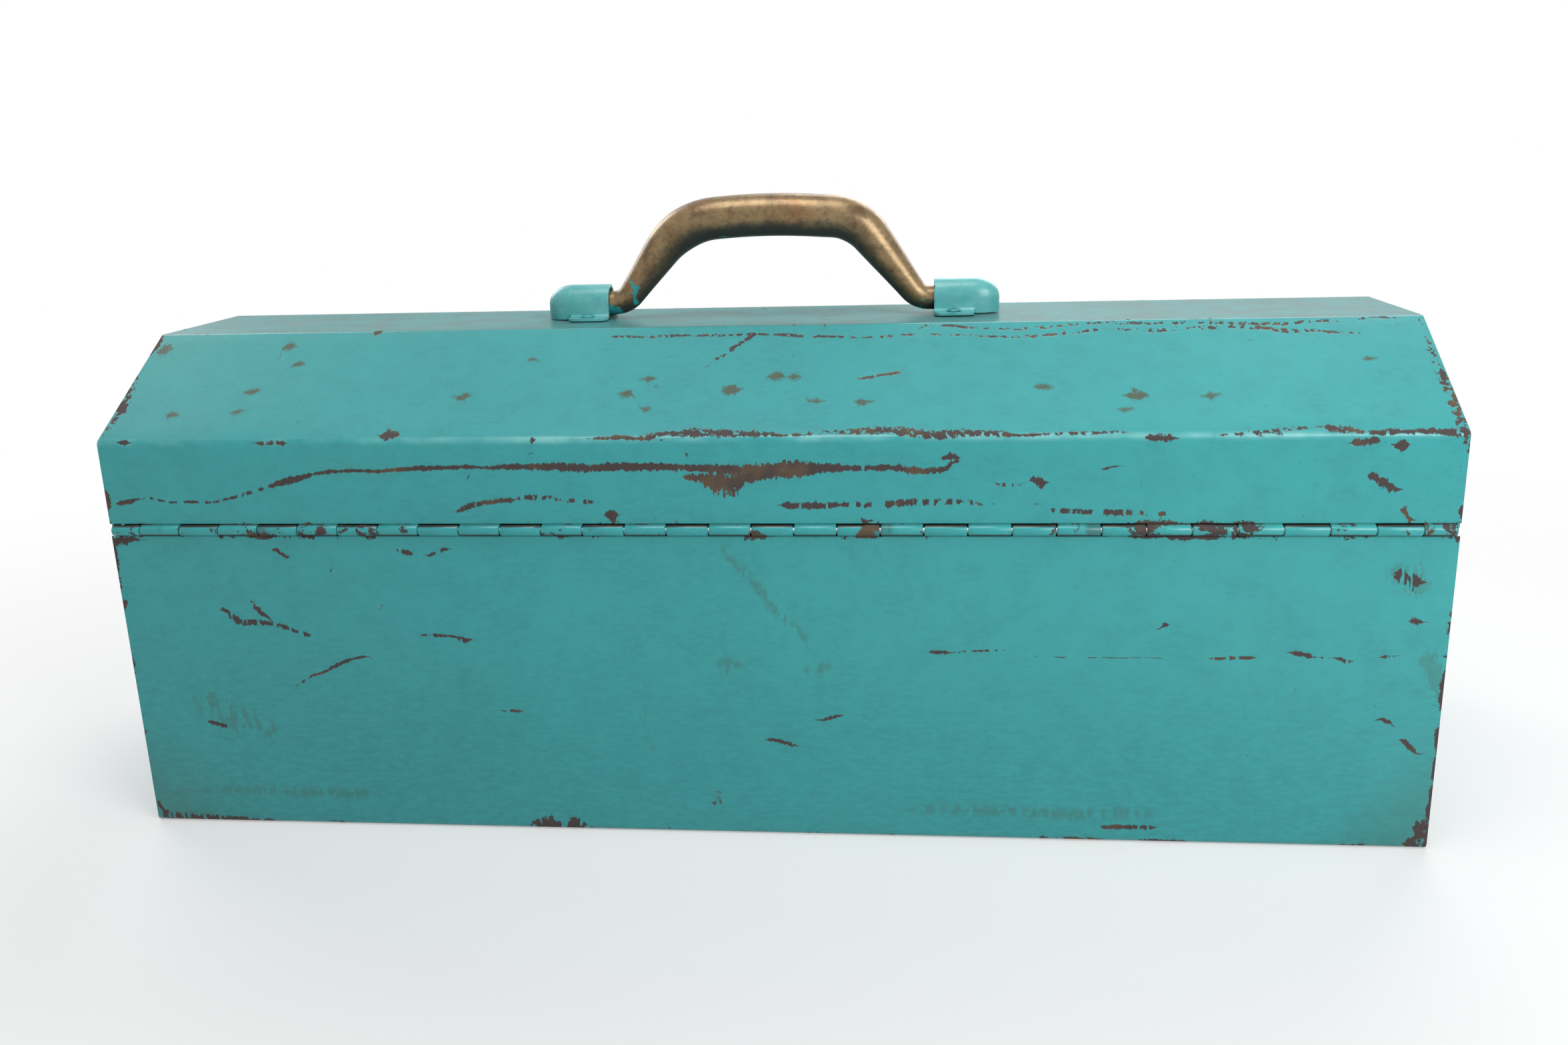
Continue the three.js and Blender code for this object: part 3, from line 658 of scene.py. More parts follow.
BODY_ROWS = [
    [[(-210, 93, 1, 0.42), (-206, 90, 1.6, 0.32), (-202, 88, 1, 0.42), (-193, 87, 0.9, 0.4),
     (-185, 85, 0.8, 0.44), (-176, 81, 0.9, 0.38)], [(-129, 81.6, 0.5, 0.42), (-117, 81, 0.6, 0.4),
     (-115, 80.5, 1.4, 0.3), (-112, 80, 0.8, 0.4)], [(67, 77.4, 0.9, 0.25), (74, 77.5, 0.8, 0.34)],
     [(78, 78.3, 0.4, 0.46), (92, 78.5, 0.4, 0.49)], [(106, 75.3, 0.16, 0.42),
     (134, 75.3, 0.16, 0.44), (156, 75.3, 0.12, 0.5)], [(169, 76.2, 0.7, 0.34),
     (182, 76.3, 0.6, 0.38)], [(197, 78, 0.8, 0.36), (204, 76.2, 0.9, 0.34)],
     [(208, 75.8, 0.8, 0.36)], [(213, 76.4, 0.6, 0.38), (217, 75, 0.9, 0.34)],
     [(229, 76.6, 0.6, 0.38), (232, 76.6, 0.5, 0.4)]],
    [[(-198, 96, 1.6, 0.36), (-195, 92, 1.4, 0.36), (-190, 88, 0.5, 0.45)],
     [(-183, 60.5, 0.4, 0.45), (-178, 64, 0.5, 0.42), (-170, 66.6, 0.9, 0.15),
     (-162, 70.5, 0.9, 0.1), (-154, 73, 0.5, 0.25)], [(-100, 51, 0.6, 0.36),
     (-95, 51.6, 0.8, 0.34)], [(24.5, 49, 1.1, 0.34), (31.5, 51, 0.6, 0.42)], [(150, 87, 0.9, 0.3),
     (151, 88.5, 0.9, 0.3)], [(237, 90, 1.2, 0.34), (240, 89.5, 1, 0.36)]],
    [[(-222, 44.5, 0.9, 0.38), (-216, 43, 0.9, 0.38)], [(-92.5, 2.2, 2.6, 0.42),
     (-73, 1.8, 2.6, 0.42)], [(5, 40, 0.8, 0.36), (14, 38.2, 0.9, 0.36)], [(133, 7, 1, 0.4),
     (150, 7, 1, 0.4)], [(230, 52, 1, 0.36), (233, 50.5, 0.8, 0.36)], [(239, 44, 1.2, 0.3),
     (244, 39, 1, 0.34)]],
    [[(-250, 120, 2.2, 0.34), (-241, 121, 1, 0.4)], [(-185, 117.5, 0.7, 0.4),
     (-181, 114, 0.9, 0.4)], [(-135, 116, 0.8, 0.4), (-132, 115, 0.8, 0.4)],
     [(-124, 114, 0.5, 0.46), (-117, 116.5, 0.6, 0.44)], [(231, 107, 2.4, 0.44),
     (238, 104.5, 3, 0.42)]],
    [[(-251, 8, 8, 0.36), (-248.6, 5, 5, 0.38), (-246, 1.5, 2, 0.4), (-200, 0.6, 1.1, 0.4)],
     [(244, 2, 2, 0.36), (248, 8, 7, 0.36), (251, 10, 8, 0.34)]],
]
SMUDGE_ROWS = [
    [[(-14, 71, 2.5, 0.4), (-7, 71.5, 3, 0.4)], [(20, 70, 2.5, 0.42), (27, 71, 2.5, 0.42)],
     [(230, 108, 5, 0.42), (240, 104, 5, 0.42)]],
    [[(-12, 117, 1.6, 0.44), (4, 98, 2.6, 0.44), (20, 81, 2, 0.46)], [(244, 74, 6, 0.42),
     (250, 66, 8, 0.42)]],
    [[(-241, 13, 2, 0.44), (-205, 14.5, 2, 0.45), (-160, 14, 2, 0.47)], [(60, 12, 2, 0.47),
     (150, 13, 2, 0.47)]],
    [[(-228, 55, 5, 0.5), (-212, 47, 6, 0.47), (-196, 42, 4, 0.5)], [(-45, 60, 2, 0.5),
     (-44, 35, 3, 0.5)]],
]


def body_scratches(finish):
    return scratches_on(finish, BODY_ROWS)


def body_stains_and_darkening(finish):
    """Soft stains, and a patchy darkening towards the bottom corners."""
    stains = finish.times(scratches_on(finish, SMUDGE_ROWS, 1.6), 0.38)
    to_corner = finish.minus(half_length, finish.maths("ABSOLUTE", finish.x))
    # Darker towards the bottom corners, in patches.
    corner_darkening = finish.times(fading(finish, finish.plus(to_corner, finish.z), 60 * MM),
                               finish.span(finish.noise(60, 5, 0.7), 0.1, 0.8))
    return finish.larger(stains, corner_darkening)


body_paint = repaint("repaint_body", edges_along([
    (-half_depth, 0, 1), (half_depth, 0, 1), (-half_depth, back_rim, 1), (half_depth, rim_shoulder, 1),
]), body_scratches, smudges_of=body_stains_and_darkening)

mesh = folded_sheet([
    (-half_depth, back_rim), (-half_depth, 0), (half_depth, 0), (half_depth, rim_shoulder),
    (half_depth - joggle, rim_shoulder + joggle), (half_depth - joggle, body_high.z),
], [fold, fold, joggle, joggle])
for side in (-1, 1):
    everything = list(mesh.verts) + list(mesh.edges) + list(mesh.faces)
    bmesh.ops.bisect_plane(mesh, geom=everything, dist=1e-6, plane_no=(1, 0, 0),
                           plane_co=(side * (half_length - lip_setback), 0, 0))
corner = [f for f in mesh.faces if abs(f.calc_center_median().x) > half_length - lip_setback
          and f.calc_center_median().z > rim_shoulder - 0.6 * MM and f.calc_center_median().y > 0]
bmesh.ops.delete(mesh, geom=corner, context="FACES")
turn_outwards(mesh)


def from_body_folds(place):
    flat = (abs(abs(place.y) - half_depth) + abs(place.z), half_length - abs(place.x))
    return max(0, min(*flat, back_rim - place.z))


wave(mesh, 0.35 * MM, 14, from_body_folds)
print("case wrap faces:", len(mesh.faces))
thicken(piece(mesh, "case_wrap", "body", ["body_wrap"], [body_paint, enamel]))

# %% [markdown]
# ## The lid wrap
# The lid is one strip too, with four folds: two creases where the walls turn into slopes and two
# ridges beside the flat top. A long scratch runs below the back crease with a big chip hanging from
# it, and the slope above is dotted with rusty spots.

# %% Fold the lid wrap
lid_back_rim = seam_height + barrel + rim_gap
LONG_SCRATCH = [
    [(-234, 137.5, 0.4, 0.5), (-225, 136, 0.5, 0.44), (-209, 136.3, 0.4, 0.46),
    (-188, 141, 0.5, 0.44), (-178, 143.5, 1.1, 0.3), (-166, 146.5, 0.9, 0.12),
    (-153, 147.6, 0.6, 0.2), (-127, 149.3, 0.8, 0.15), (-99, 149.3, 0.7, 0.15),
    (-79, 150.4, 1.2, 0.05), (-64, 149.3, 1.5, 0), (-45, 148.4, 1.2, 0), (-18, 148.2, 1.3, 0),
    (2, 148.2, 2, 0), (18, 148.8, 2.3, 0), (26, 147.3, 1.6, 0), (36, 147.3, 0.9, 0.2),
    (42, 147.3, 0.7, 0.42), (49, 147.3, 0.9, 0.2), (62, 147, 1.3, 0), (71, 147.4, 1.4, 0),
    (74, 150, 1.8, 0)],
]
HANGING_CHIP = [
    [(-24, 145, 0.9, 0.1), (-18, 144.6, 1.9, 0), (-13, 143.2, 3.6, 0), (-9, 142.2, 4.2, 0),
    (-5, 143, 3.7, 0), (-2, 145, 2.3, 0), (8, 146.2, 2, 0), (18, 146.8, 1.9, 0),
    (24, 146.2, 1.2, 0.1)], [(231, 132.3, 1.7, 0.1), (233.5, 128.5, 1.5, 0.15)],
]
LOWER_DASHES = [
    [(-111, 131.5, 0.7, 0.34), (-106, 134, 1.1, 0.32), (-100, 135.5, 1, 0.38),
    (-90, 136.4, 1, 0.42)], [(-86, 137.3, 0.9, 0.53), (-76, 138.2, 0.9, 0.53),
    (-60, 136, 0.9, 0.54)], [(13, 133.7, 1.3, 0.34), (28, 133.6, 1.3, 0.4), (34, 133.9, 0.8, 0.5),
    (44, 134.2, 1, 0.5), (54, 135, 1.4, 0.46), (65, 135.2, 1, 0.5), (87, 134.4, 0.8, 0.54)],
    [(108, 132.3, 0.8, 0.53), (124, 131.4, 1, 0.5), (149, 131.2, 0.9, 0.51)],
    [(219.5, 144, 1.4, 0.1), (223.5, 141.4, 2, 0.05), (227, 139.4, 1.5, 0.15)],
]
END_CHIPS = [
    [(-251, 170, 20, 0.44), (-249.6, 170, 20, 0.47)], [(248.9, 170, 20, 0.46), (251, 170, 20, 0.4)],
]
LONE_CHIPS = [
    [(-245, 135, 0.8, 0.3), (-238, 137, 0.6, 0.4)], [(-53, 131, 1.8, 0.2), (-50.5, 131, 1.8, 0.2)],
    [(72, 151.6, 1.3, 0.1), (75, 151.4, 1.3, 0.1)], [(91, 142, 0.7, 0.4), (97, 142, 0.7, 0.4)],
    [(102, 144, 1.3, 0.1), (105.5, 142.6, 1.9, 0.1)], [(127, 146.4, 0.4, 0.45),
    (132, 147.6, 0.4, 0.45)], [(213, 155.6, 1.3, 0.2), (220, 157, 1.9, 0.1)],
    [(228, 155.4, 2.4, 0.15), (230, 155.6, 2.2, 0.15)],
]
CREASE_CHIPS = [
    [(-241, 158.4, 0.9, 0.3), (-239, 158.4, 0.9, 0.3)], [(-187, 158.8, 0.5, 0.42),
    (-176, 158.8, 0.9, 0.36)], [(-138, 161.4, 1.6, 0.2), (-134, 161.4, 1.5, 0.2)],
    [(-58, 160.2, 0.5, 0.42), (-38, 159.8, 1, 0.36), (-30, 160.6, 0.5, 0.46),
    (-22, 160.4, 0.9, 0.36), (5, 160.4, 0.8, 0.38), (14, 160, 0.5, 0.44), (30, 160.2, 0.4, 0.48),
    (49, 160.6, 0.9, 0.36), (66, 159.4, 1.2, 0.32), (86, 160, 0.9, 0.38), (100, 160, 0.4, 0.46),
    (118, 159.8, 0.5, 0.46), (134, 159.8, 0.4, 0.48)], [(143, 158.2, 1.3, 0.15),
    (150, 158.2, 1.4, 0.15)], [(168, 160, 0.4, 0.46), (196, 160.2, 0.4, 0.48)],
    [(203, 160.2, 0.9, 0.36), (214, 159.6, 0.6, 0.42), (238, 160, 0.8, 0.4),
    (249, 159.8, 1.5, 0.34)],
]


def soft_spots(places):
    """Each place is (x, z, half length, half height) in millimetres."""
    return [[(x - 0.6 * long, z, 1.1 * high, 0.2), (x + 0.6 * long, z, 1.1 * high, 0.2)]
            for x, z, long, high in places]


SLOPE_SPOTS = [
    soft_spots([
        (-246, 188.4, 2.5, 1.5), (-227, 167.3, 1.4, 1.0), (-200.5, 168.1, 1.6, 0.8),
        (-192.5, 189.4, 2.2, 1.1), (-113, 172.1, 2.4, 1.0), (-89.6, 183, 0.9, 0.6),
        (-49, 171.6, 2.0, 0.9), (-40, 167.2, 1.3, 0.6), (-9, 173, 3.4, 1.6), (8, 177.2, 2.4, 1.3),
        (23.4, 169.2, 1.6, 0.8), (40.6, 168.8, 2.8, 1.0),
        (107.7, 172.2, 2.4, 0.9), (140.5, 171.3, 3.4, 1.6), (166.8, 170.7, 1.5, 0.9),
    ]),
    soft_spots([
        (-199, 174.3, 2.0, 0.9), (-185, 182.6, 1.6, 0.7), (-41.3, 175.8, 1.4, 1.0), (15, 176.4, 1.1, 1.1),
        (136, 167.1, 1.7, 0.6), (226, 180, 1.2, 0.7),
    ]),
]
RIDGE_DASHES = [
    [(-60, 190.6, 0.4, 0.5), (-30, 190.2, 0.45, 0.46), (5, 189.6, 0.4, 0.47), (40, 189, 0.35, 0.49),
    (64, 188.8, 0.35, 0.51), (120, 189, 0.45, 0.5), (160, 189.6, 0.4, 0.51), (186, 190, 0.6, 0.44),
    (201, 189, 0.6, 0.44), (226, 187.5, 0.3, 0.52)],
]
SLANTED_DASHES = [
    [(-19, 180, 0.4, 0.48), (-12, 185, 0.6, 0.4), (-3, 189.8, 0.7, 0.4)], [(40, 176.8, 0.4, 0.36),
    (54, 178.2, 0.4, 0.36)], [(63, 191.6, 0.35, 0.52), (168, 191.4, 0.45, 0.51),
    (185, 191, 0.5, 0.46), (240, 191.8, 0.3, 0.52)],
]


def lid_scratches(finish):
    return scratches_on(finish, [LONG_SCRATCH, HANGING_CHIP, LOWER_DASHES, LONE_CHIPS, CREASE_CHIPS,
                                 RIDGE_DASHES, SLANTED_DASHES, END_CHIPS])


def lid_stains(finish):
    return finish.times(scratches_on(finish, SLOPE_SPOTS, 0.6), 0.92)


lid_edges = edges_along([
    (-half_depth, crease_height, 0.35), (half_depth, crease_height, 1), (-half_flat, top_height, 0.45),
    (half_flat, top_height, 1), (-half_depth, lid_back_rim, 0.8), (half_depth, lid_low.z, 1),
])
lid_paint = repaint("repaint_lid", lid_edges, lid_scratches, rubbed_and_highlit_of=rubbed_and_highlit_crease,
                    smudges_of=lid_stains, smudge=RUST_STAIN)
dusty_paint = repaint("repaint_lid_top", lid_edges, spots=0.70, shine=0.012)

mesh = folded_sheet([
    (half_depth, lid_low.z), (half_depth, crease_height), (half_flat, top_height),
    (-half_flat, top_height), (-half_depth, crease_height), (-half_depth, lid_back_rim),
], [fold] * 4)
turn_outwards(mesh)
for face in mesh.faces:
    face.material_index = 2 if face.normal.z > 0.97 else 0


def from_lid_folds(place):
    to_crease = math.hypot(abs(place.y) - half_depth, place.z - crease_height)
    to_ridge = math.hypot(abs(place.y) - half_flat, place.z - top_height)
    return max(0, min(to_crease, to_ridge, place.z - lid_back_rim, half_length - abs(place.x)))


wave(mesh, 0.45 * MM, 13, from_lid_folds)
print("lid wrap faces:", len(mesh.faces))
lid_finishes = [lid_paint, enamel, dusty_paint, enamel]
thicken(piece(mesh, "lid_wrap_sheet", "lid", ["lid_wrap"], lid_finishes))

# %% [markdown]
# ## Pressed and cut pieces
# The end panels, brackets, lugs and tray parts already have their right shape in the frame. What they
# lack is what every real edge has: a small radius that catches the light. Each one is copied, its
# loose triangles are merged back into flat faces, and a bevel rounds the corners.

# %% Soften the edges of the plain pieces
def softened_copy(node, body, finish, width=0.3 * MM, sharp=25):
    mesh = bmesh.new()
    mesh.from_mesh(frame["nodes"][node].data)
    bmesh.ops.remove_doubles(mesh, verts=mesh.verts, dist=0.001 * MM)
    bmesh.ops.dissolve_limit(mesh, angle_limit=math.radians(0.5), verts=mesh.verts, edges=mesh.edges)
    copy = piece(mesh, node + "_softened", body, [node], [finish], sharp)
    return rounded(copy, width, 2, sharp)


for side in ("left", "right"):
    for kind, body, finish, slot in (
            ("body_end", "body", small_paint, "turquoise_paint"),
            ("lid_end", "lid", small_paint, "turquoise_paint"),
            ("tray_ledge", "body", enamel, "old_enamel"), ("tray_end", "tray", enamel, "old_enamel"),
            ("tray_divider", "tray", enamel, "old_enamel"),
            ("latch_base", "body", painted_steel, "plated_steel"),
            ("latch_lever", f"lever_{side}", painted_steel, "plated_steel"),
            ("latch_keeper", "lid", painted_steel, "plated_steel")):
        softened_copy(f"{kind}_{side}", body, finish)
softened_copy("tray_tub", "tray", enamel)
softened_copy("tray_handle", "tray", enamel, 0.5 * MM)
for body in ("body", "lid"):
    softened_copy(f"padlock_lug_{body}", body, small_paint, 0.4 * MM)
for node in ("hinge_pin", "latch_pin_left", "latch_pin_right"):
    for material_slot in frame["nodes"][node].material_slots:
        material_slot.material = steel

# %% [markdown]
# ## The piano hinge
# A piano hinge is two long leaves whose edges are rolled into knuckles, in turn from the lower and the
# upper leaf, round one pin. Each knuckle is a short cylinder with a softened rim. A narrow web closes
# the side where its own leaf is rolled from; on the other side a dark gap stays open.

# %% Roll the hinge
knuckle_pitch = 15.875 * MM
knuckle_gap = 0.4 * MM
leaf_plate = 0.9 * MM
hinge_half = leaf_high.x
full_knuckles = math.floor(2 * hinge_half / knuckle_pitch) - 1
inner_edges = [(i - full_knuckles / 2) * knuckle_pitch for i in range(full_knuckles + 1)]
knuckle_edges = [-hinge_half, *inner_edges, hinge_half]


def box_into(mesh, low, high):
    made = bmesh.ops.create_cube(mesh, size=1)["verts"]
    low, high = Vector(low), Vector(high)
    bmesh.ops.scale(mesh, verts=made, vec=high - low)
    bmesh.ops.translate(mesh, verts=made, vec=(low + high) / 2)
    return made


def knuckle_into(mesh, start, end):
    middle = Matrix.Translation(((start + end) / 2, hinge_y, seam_height))
    lying = middle @ Matrix.Rotation(math.pi / 2, 4, "Y")
    made = bmesh.ops.create_cone(mesh, cap_ends=True, segments=20, radius1=barrel, radius2=barrel,
                                 depth=end - start, matrix=lying)["verts"]
    rims = [e for v in made for e in v.link_edges if abs(e.verts[0].co.x - e.verts[1].co.x) < 1e-6]
    round_off(mesh, list(dict.fromkeys(rims)), 0.35 * MM, 2)


def hinge_shade_and_grime(side):
    """The open gap beside the other leaf is darkened as painted shade, and parts of the knuckles are dark
    with grime.
    """
    def mask(finish):
        off = finish.times(finish.minus(finish.z, seam_height), -side)
        # Painted shade: a dark band along the open gap between the leaves.
        gap_shade = finish.step(off, (1.3 if side < 0 else 0.9) * MM, (1.8 if side < 0 else 1.5) * MM)
        tall = finish.stretched(1, 0.3, 0.3)
        patch = finish.patches(0.55, 0.63, 38, 3, 0.6, 0.2, tall)
        return finish.larger(gap_shade, finish.times(patch, 0.55))
    return mask


for body, side, first in (("body", -1, 0), ("lid", 1, 1)):
    node = f"hinge_leaf_{body}"
    leaf_outer = leaf_high.y - leaf_plate
    mesh = bmesh.new()
    near, far = seam_height + side * (barrel + rim_gap), (leaf_low.z if side < 0 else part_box(node)[1].z)
    box_into(mesh, (-hinge_half, leaf_outer, min(near, far)), (hinge_half, leaf_high.y, max(near, far)))
    for start, end in list(zip(knuckle_edges, knuckle_edges[1:]))[first::2]:
        start, end = start + knuckle_gap / 2, end - knuckle_gap / 2
        knuckle_into(mesh, start, end)
        web = sorted((seam_height + side * 1.2 * MM, seam_height + side * (barrel + 0.26 * MM)))
        box_into(mesh, (start + 0.1 * MM, -half_depth + 0.1 * MM, web[0]),
                 (end - 0.1 * MM, leaf_high.y, web[1]))
    leaf_paint = repaint(f"repaint_hinge_{body}", pointed_edges, spots=0.67, shade_and_grime_of=hinge_shade_and_grime(side))
    piece(mesh, f"hinge_{body}", body, [node], [leaf_paint], 30)
print("knuckles:", full_knuckles, "whole and one cut short at each end")

# %% [markdown]
# ## Round bars
# The handle and the latch loops are bars bent in one plane. A circle is stood at the start of the path
# and drawn out ring by ring; each ring is carried to the next point, turned to face along the path
# and scaled to the bar's radius there. The corners of the path are rounded first, with plain arcs.

# %% Sweep a bar along a path
def rounded_path(corners, radii, steps=6, longest=5 * MM):
    """Points in (x, z): the corners rounded, and long straights divided."""
    rounded_points = [Vector(corners[0])]
    for before, corner, after, radius in zip(corners, corners[1:], corners[2:], radii):
        corner = Vector(corner)
        back, ahead = (Vector(before) - corner).normalized(), (Vector(after) - corner).normalized()
        half = back.angle(ahead) / 2
        centre = corner + (back + ahead).normalized() * radius / math.sin(half)
        spoke = corner + back * radius / math.tan(half) - centre
        sweep = math.copysign(math.pi - 2 * half, -back.cross(ahead))
        for i in range(steps + 1):
            turned = spoke.copy()
            turned.rotate(Matrix.Rotation(sweep * i / steps, 2))
            rounded_points.append(centre + turned)
    rounded_points.append(Vector(corners[-1]))
    path = []
    for one, two in zip(rounded_points, rounded_points[1:]):
        parts = max(1, math.ceil((two - one).length / longest))
        path += [one.lerp(two, i / parts) for i in range(parts)]
    return path + [rounded_points[-1]]


def swept_bar(path, radius_at, y=0.0, sides=28):
    mesh = bmesh.new()
    stations = []
    for i, point in enumerate(path):
        along = (path[min(i + 1, len(path) - 1)] - path[max(i - 1, 0)]).normalized()
        facing = Matrix.Rotation(math.atan2(along.x, along.y), 4, "Y")
        place = Matrix.Translation((point.x, y, point.y))
        stations.append(place @ facing @ Matrix.Scale(radius_at(point), 4))
    ring = bmesh.ops.create_circle(mesh, cap_ends=True, segments=sides, radius=1,
                                   matrix=stations[0])["verts"]
    rim = list(dict.fromkeys(e for v in ring for e in v.link_edges))
    for before, after in zip(stations, stations[1:]):
        ring, rim = draw_out(mesh, rim)
        bmesh.ops.transform(mesh, verts=ring, matrix=after @ before.inverted())
    bmesh.ops.contextual_create(mesh, geom=rim)
    bmesh.ops.recalc_face_normals(mesh, faces=mesh.faces)
    return mesh


print("bars can be swept")

# %% [markdown]
# ## The handle
# One tube, thick in the grip and necked down towards the ends, which turn outwards and sit in the
# clips. The real grip bows up very slightly in the middle, so the path has a corner there too, rounded
# with a long radius.

# %% Bend the handle
handle_axis = frame["joints"][1]["pos_m"][2]
grip_radius, end_radius = 8.6 * MM, 4.9 * MM
grip_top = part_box("handle")[1].z
shoulder_height = top_height + 39.4 * MM


def eased(value, low, high):
    share = min(1, max(0, (value - low) / (high - low)))
    return share * share * (3 - 2 * share)


def handle_radius(point):
    return grip_radius + (end_radius - grip_radius) * eased(abs(point.x), 34 * MM, 66 * MM)


right_half = [(36 * MM, shoulder_height), (61.5 * MM, handle_axis), (84 * MM, handle_axis)]
left_half = [(-x, z) for x, z in reversed(right_half)]
path = rounded_path(left_half + [(0, grip_top - grip_radius)] + right_half,
                    [10 * MM, 32 * MM, 260 * MM, 21 * MM, 9 * MM], 12, 4 * MM)
piece(swept_bar(path, handle_radius), "handle_tube", "handle", ["handle"], [handle_bronze()],
      60)
print("handle rings:", len(path))

# %% [markdown]
# ## The clips
# Each clip is pressed from sheet: an arch over the handle's end, closed by a round nose, with a flange
# on both sides for two rivets. The arch is a point spun half round the axis with its legs drawn down.
# Drawn along the box and shrunk ring by ring it becomes the nose, and its feet become the flanges.

# %% Press the clips
clip_low, clip_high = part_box("handle_clip_right")
clip_wall = 1.3 * MM
clip_radius = clip_high.z - handle_axis
nose_length = 10.5 * MM
nose_start = clip_high.x - nose_length
foot_height = clip_low.z + clip_wall


def pressed_clip(side):
    mesh = bmesh.new()
    first = mesh.verts.new((clip_low.x, clip_radius, handle_axis))
    spun = bmesh.ops.spin(mesh, geom=[first], cent=(0, 0, handle_axis), axis=(1, 0, 0), angle=math.pi,
                          steps=16, use_merge=False)
    last = spun["geom_last"][0]
    for vert in mesh.verts:
        vert.co.z = handle_axis + (vert.co.z - handle_axis) * 1.16
    for end in (first, last):
        leg = bmesh.ops.extrude_vert_indiv(mesh, verts=[end])["verts"]
        bmesh.ops.translate(mesh, verts=leg, vec=(0, 0, foot_height - handle_axis))
    rim = list(mesh.edges)
    stops = [(nose_start, 1.0)]
    for i in range(1, 9):
        angle = i * math.pi / 16
        stops.append((nose_start + nose_length * math.sin(angle), max(math.cos(angle), 0.02)))
    at, scale = clip_low.x, 1.0
    for x, next_scale in stops:
        ring, rim = draw_out(mesh, rim)
        for vert in ring:
            vert.co.x += x - at
            vert.co.y *= next_scale / scale
            if vert.co.z > handle_axis - 0.001 * MM:
                vert.co.z = handle_axis + (vert.co.z - handle_axis) * next_scale / scale
        at, scale = x, next_scale
    bmesh.ops.contextual_create(mesh, geom=rim)
    feet = [e for e in mesh.edges if e.is_boundary
            and all(abs(v.co.z - foot_height) < 1e-6 for v in e.verts)]
    straight = [e for e in feet if all(v.co.x < nose_start + 1e-6 for v in e.verts)]
    skirt = [e for e in feet if e not in straight and any(v.co.x > nose_start + 1e-6 for v in e.verts)]
    low, _ = draw_out(mesh, skirt)
    bmesh.ops.translate(mesh, verts=low, vec=(0, 0, -clip_wall))
    for way in (-1, 1):
        outer, _ = draw_out(mesh, [e for e in straight if e.verts[0].co.y * way > 0])
        bmesh.ops.translate(mesh, verts=outer, vec=(0, way * (clip_high.y - clip_radius), 0))
        round_off(mesh, outer, 3 * MM, 5, "VERTICES")
    round_off(mesh, [e for e in mesh.edges if e in straight], 1.3 * MM, 4)
    bmesh.ops.remove_doubles(mesh, verts=mesh.verts, dist=0.01 * MM)
    if side < 0:
        bmesh.ops.scale(mesh, verts=mesh.verts, vec=(-1, 1, 1))
    bmesh.ops.recalc_face_normals(mesh, faces=mesh.faces)
    top = max(mesh.faces, key=lambda f: f.calc_center_median().z)
    if top.normal.z < 0:
        bmesh.ops.reverse_faces(mesh, faces=mesh.faces)
    return mesh


def handled_and_highlit(finish):
    """The clips are paler all over, in some places more: partly paint rubbed by hands, partly painted
    highlight.
    """
    return finish.span(finish.patches(0.35, 0.65, 70, 4, 0.7), 0.28, 0.68)


# The clips' paint is lightened partly as a painted highlight.
clip_paint = repaint("repaint_clips", pointed_edges, spots=0.735, rubbed_and_highlit_of=handled_and_highlit, dust=0.0)
for name, side in (("left", -1), ("right", 1)):
    node = f"handle_clip_{name}"
    clip = piece(pressed_clip(side), f"clip_{name}", "lid", [node], [clip_paint], 50)
    wall = clip.modifiers.new("thickness", "SOLIDIFY")
    wall.thickness = clip_wall
    wall.offset = -1
    wall.use_even_offset = True
    rounded(clip, 0.25 * MM, 2, 55)
print("clips pressed, nose starts at", round(nose_start, 4))

# %% [markdown]
# ## The latch loops
# A draw latch holds its lid half with a loop of round wire, whose ends turn in through the lever's
# cheeks. It is the same kind of bar as the handle, only thinner.

# %% Bend the latch loops
for name in ("left", "right"):
    low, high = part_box(f"latch_bail_{name}")
    middle, wire = (low.x + high.x) / 2, 1.3 * MM
    bail_half, end_half = 14.5 * MM, 7.0 * MM
    top_bar, low_bar, bail_y = high.z - wire, low.z + wire, (low.y + high.y) / 2
    shape = [(-end_half, top_bar), (-bail_half, top_bar), (-bail_half, low_bar)]
    shape += [(-x, z) for x, z in reversed(shape)]
    path = rounded_path([(middle + x, z) for x, z in shape],
                        [1.8 * MM, 5 * MM, 5 * MM, 1.8 * MM], 6, 6 * MM)
    piece(swept_bar(path, lambda point: wire, bail_y, 14), f"latch_loop_{name}", f"bail_{name}",
          [f"latch_bail_{name}"], [steel], 60)
print("latch loops bent")

# %% [markdown]
# ## Rivets
# Every rivet is the same turned shape: a domed head outside, a shank and a flat set tail inside. Half
# its outline is a line of points, and one full spin closes it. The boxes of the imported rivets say
# where each stands, which way it faces and how much sheet it clamps.

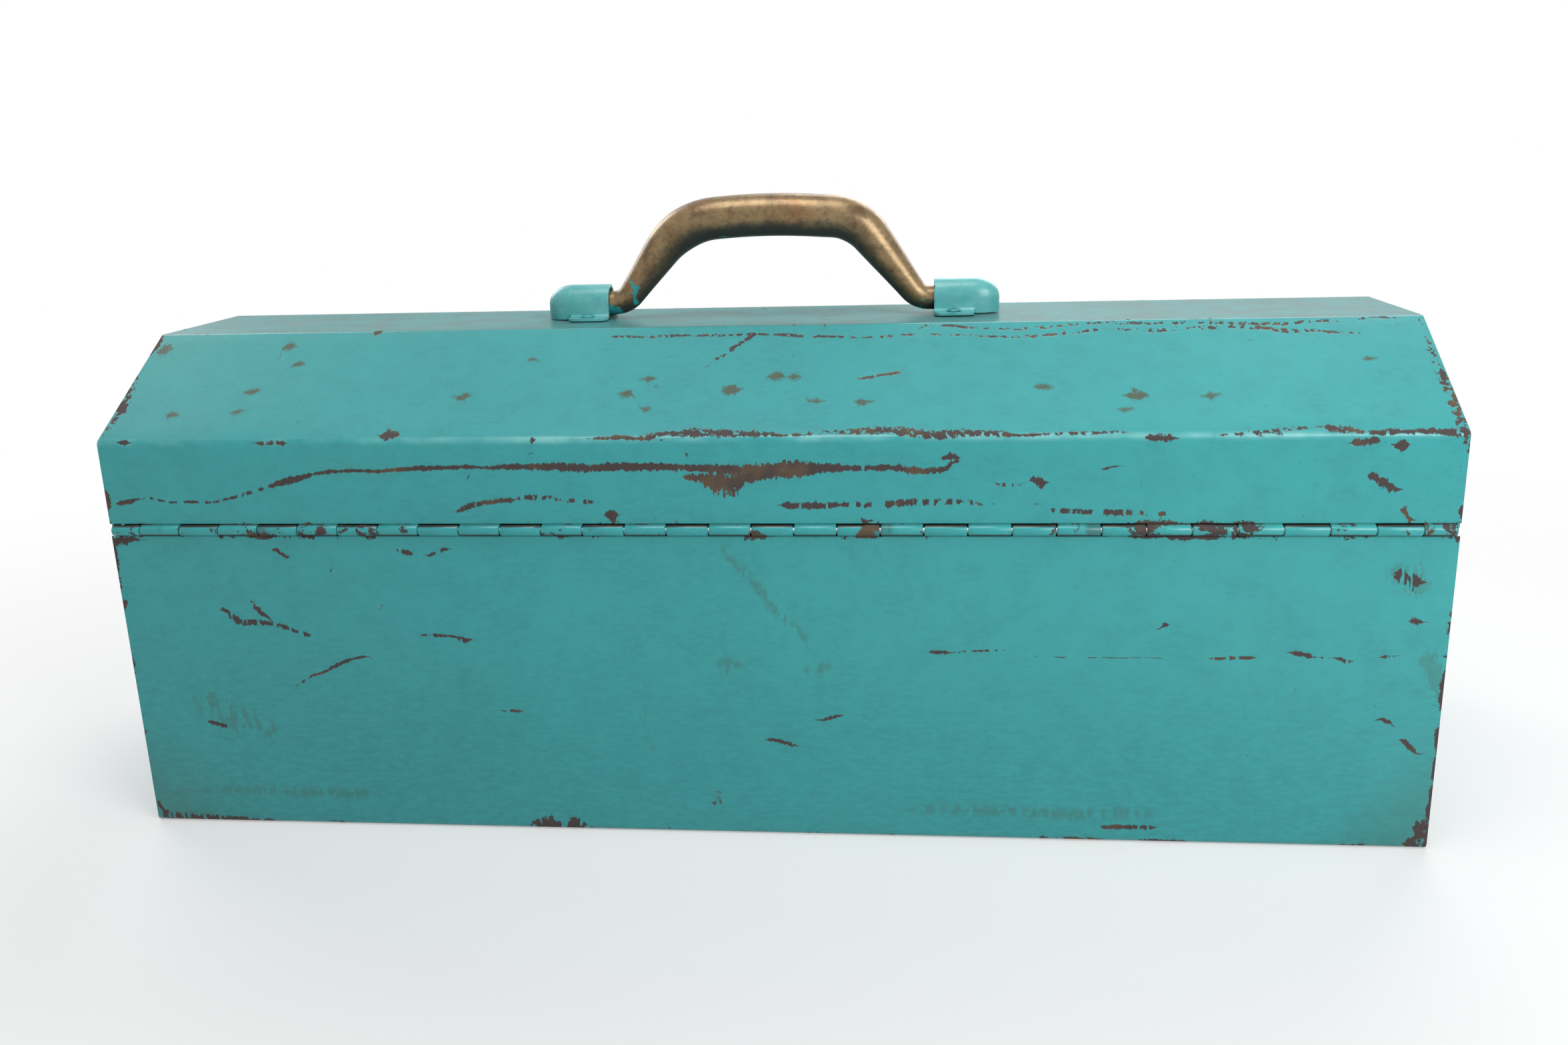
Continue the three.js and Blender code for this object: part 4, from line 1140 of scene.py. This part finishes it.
# %% Turn the rivets
def rivet_mesh(grip_top, tail_top, height):
    head, shank, tail = 2.9 * MM, 1.6 * MM, 2.5 * MM
    dome = height - grip_top
    outline = [(0, 0), (tail - 0.3 * MM, 0), (tail, 0.3 * MM), (tail, tail_top), (shank, tail_top),
               (shank, grip_top), (head - 0.1 * MM, grip_top), (head, grip_top + 0.12 * MM)]
    outline += [(head * math.cos(a), grip_top + 0.12 * MM + (dome - 0.12 * MM) * math.sin(a))
                for a in [i * math.pi / 12 for i in range(1, 6)]]
    outline.append((0, height))
    mesh = bmesh.new()
    line = [mesh.verts.new((r, 0, z)) for r, z in outline]
    edges = [mesh.edges.new(pair) for pair in zip(line, line[1:])]
    bmesh.ops.spin(mesh, geom=line + edges, cent=(0, 0, 0), axis=(0, 0, 1), angle=2 * math.pi, steps=20,
                   use_merge=True)
    bmesh.ops.remove_doubles(mesh, verts=mesh.verts, dist=0.001 * MM)
    bmesh.ops.recalc_face_normals(mesh, faces=mesh.faces)
    return mesh


def set_rivet(node, body, facing, finish):
    low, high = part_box(node)
    facing = Vector(facing)
    height = abs((high - low).dot(facing))
    base = (low + high) / 2 - facing * height / 2
    mesh = rivet_mesh(height - 1.3 * MM, 0.8 * MM, height)
    turn = facing.to_track_quat("Z", "Y").to_matrix().to_4x4()
    bmesh.ops.transform(mesh, verts=mesh.verts, matrix=Matrix.Translation(base) @ turn)
    piece(mesh, node + "_turned", body, [node], [finish], 40)


front, up = (0, 1, 0), (0, 0, 1)
for prefix, count, body, facing in (
        ("latch_base_rivet", 4, "body", front), ("latch_keeper_rivet", 4, "lid", front),
        ("lug_rivet_body", 2, "body", front), ("lug_rivet_lid", 2, "lid", front),
        ("clip_rivet", 4, "lid", up)):
    for i in range(count):
        set_rivet(f"{prefix}_{i + 1}", body, facing, small_paint)
for i in (1, 2):
    low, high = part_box(f"tray_handle_rivet_{i}")
    inwards = -math.copysign(1, low.x + high.x)
    set_rivet(f"tray_handle_rivet_{i}", "tray", (inwards, 0, 0), steel)
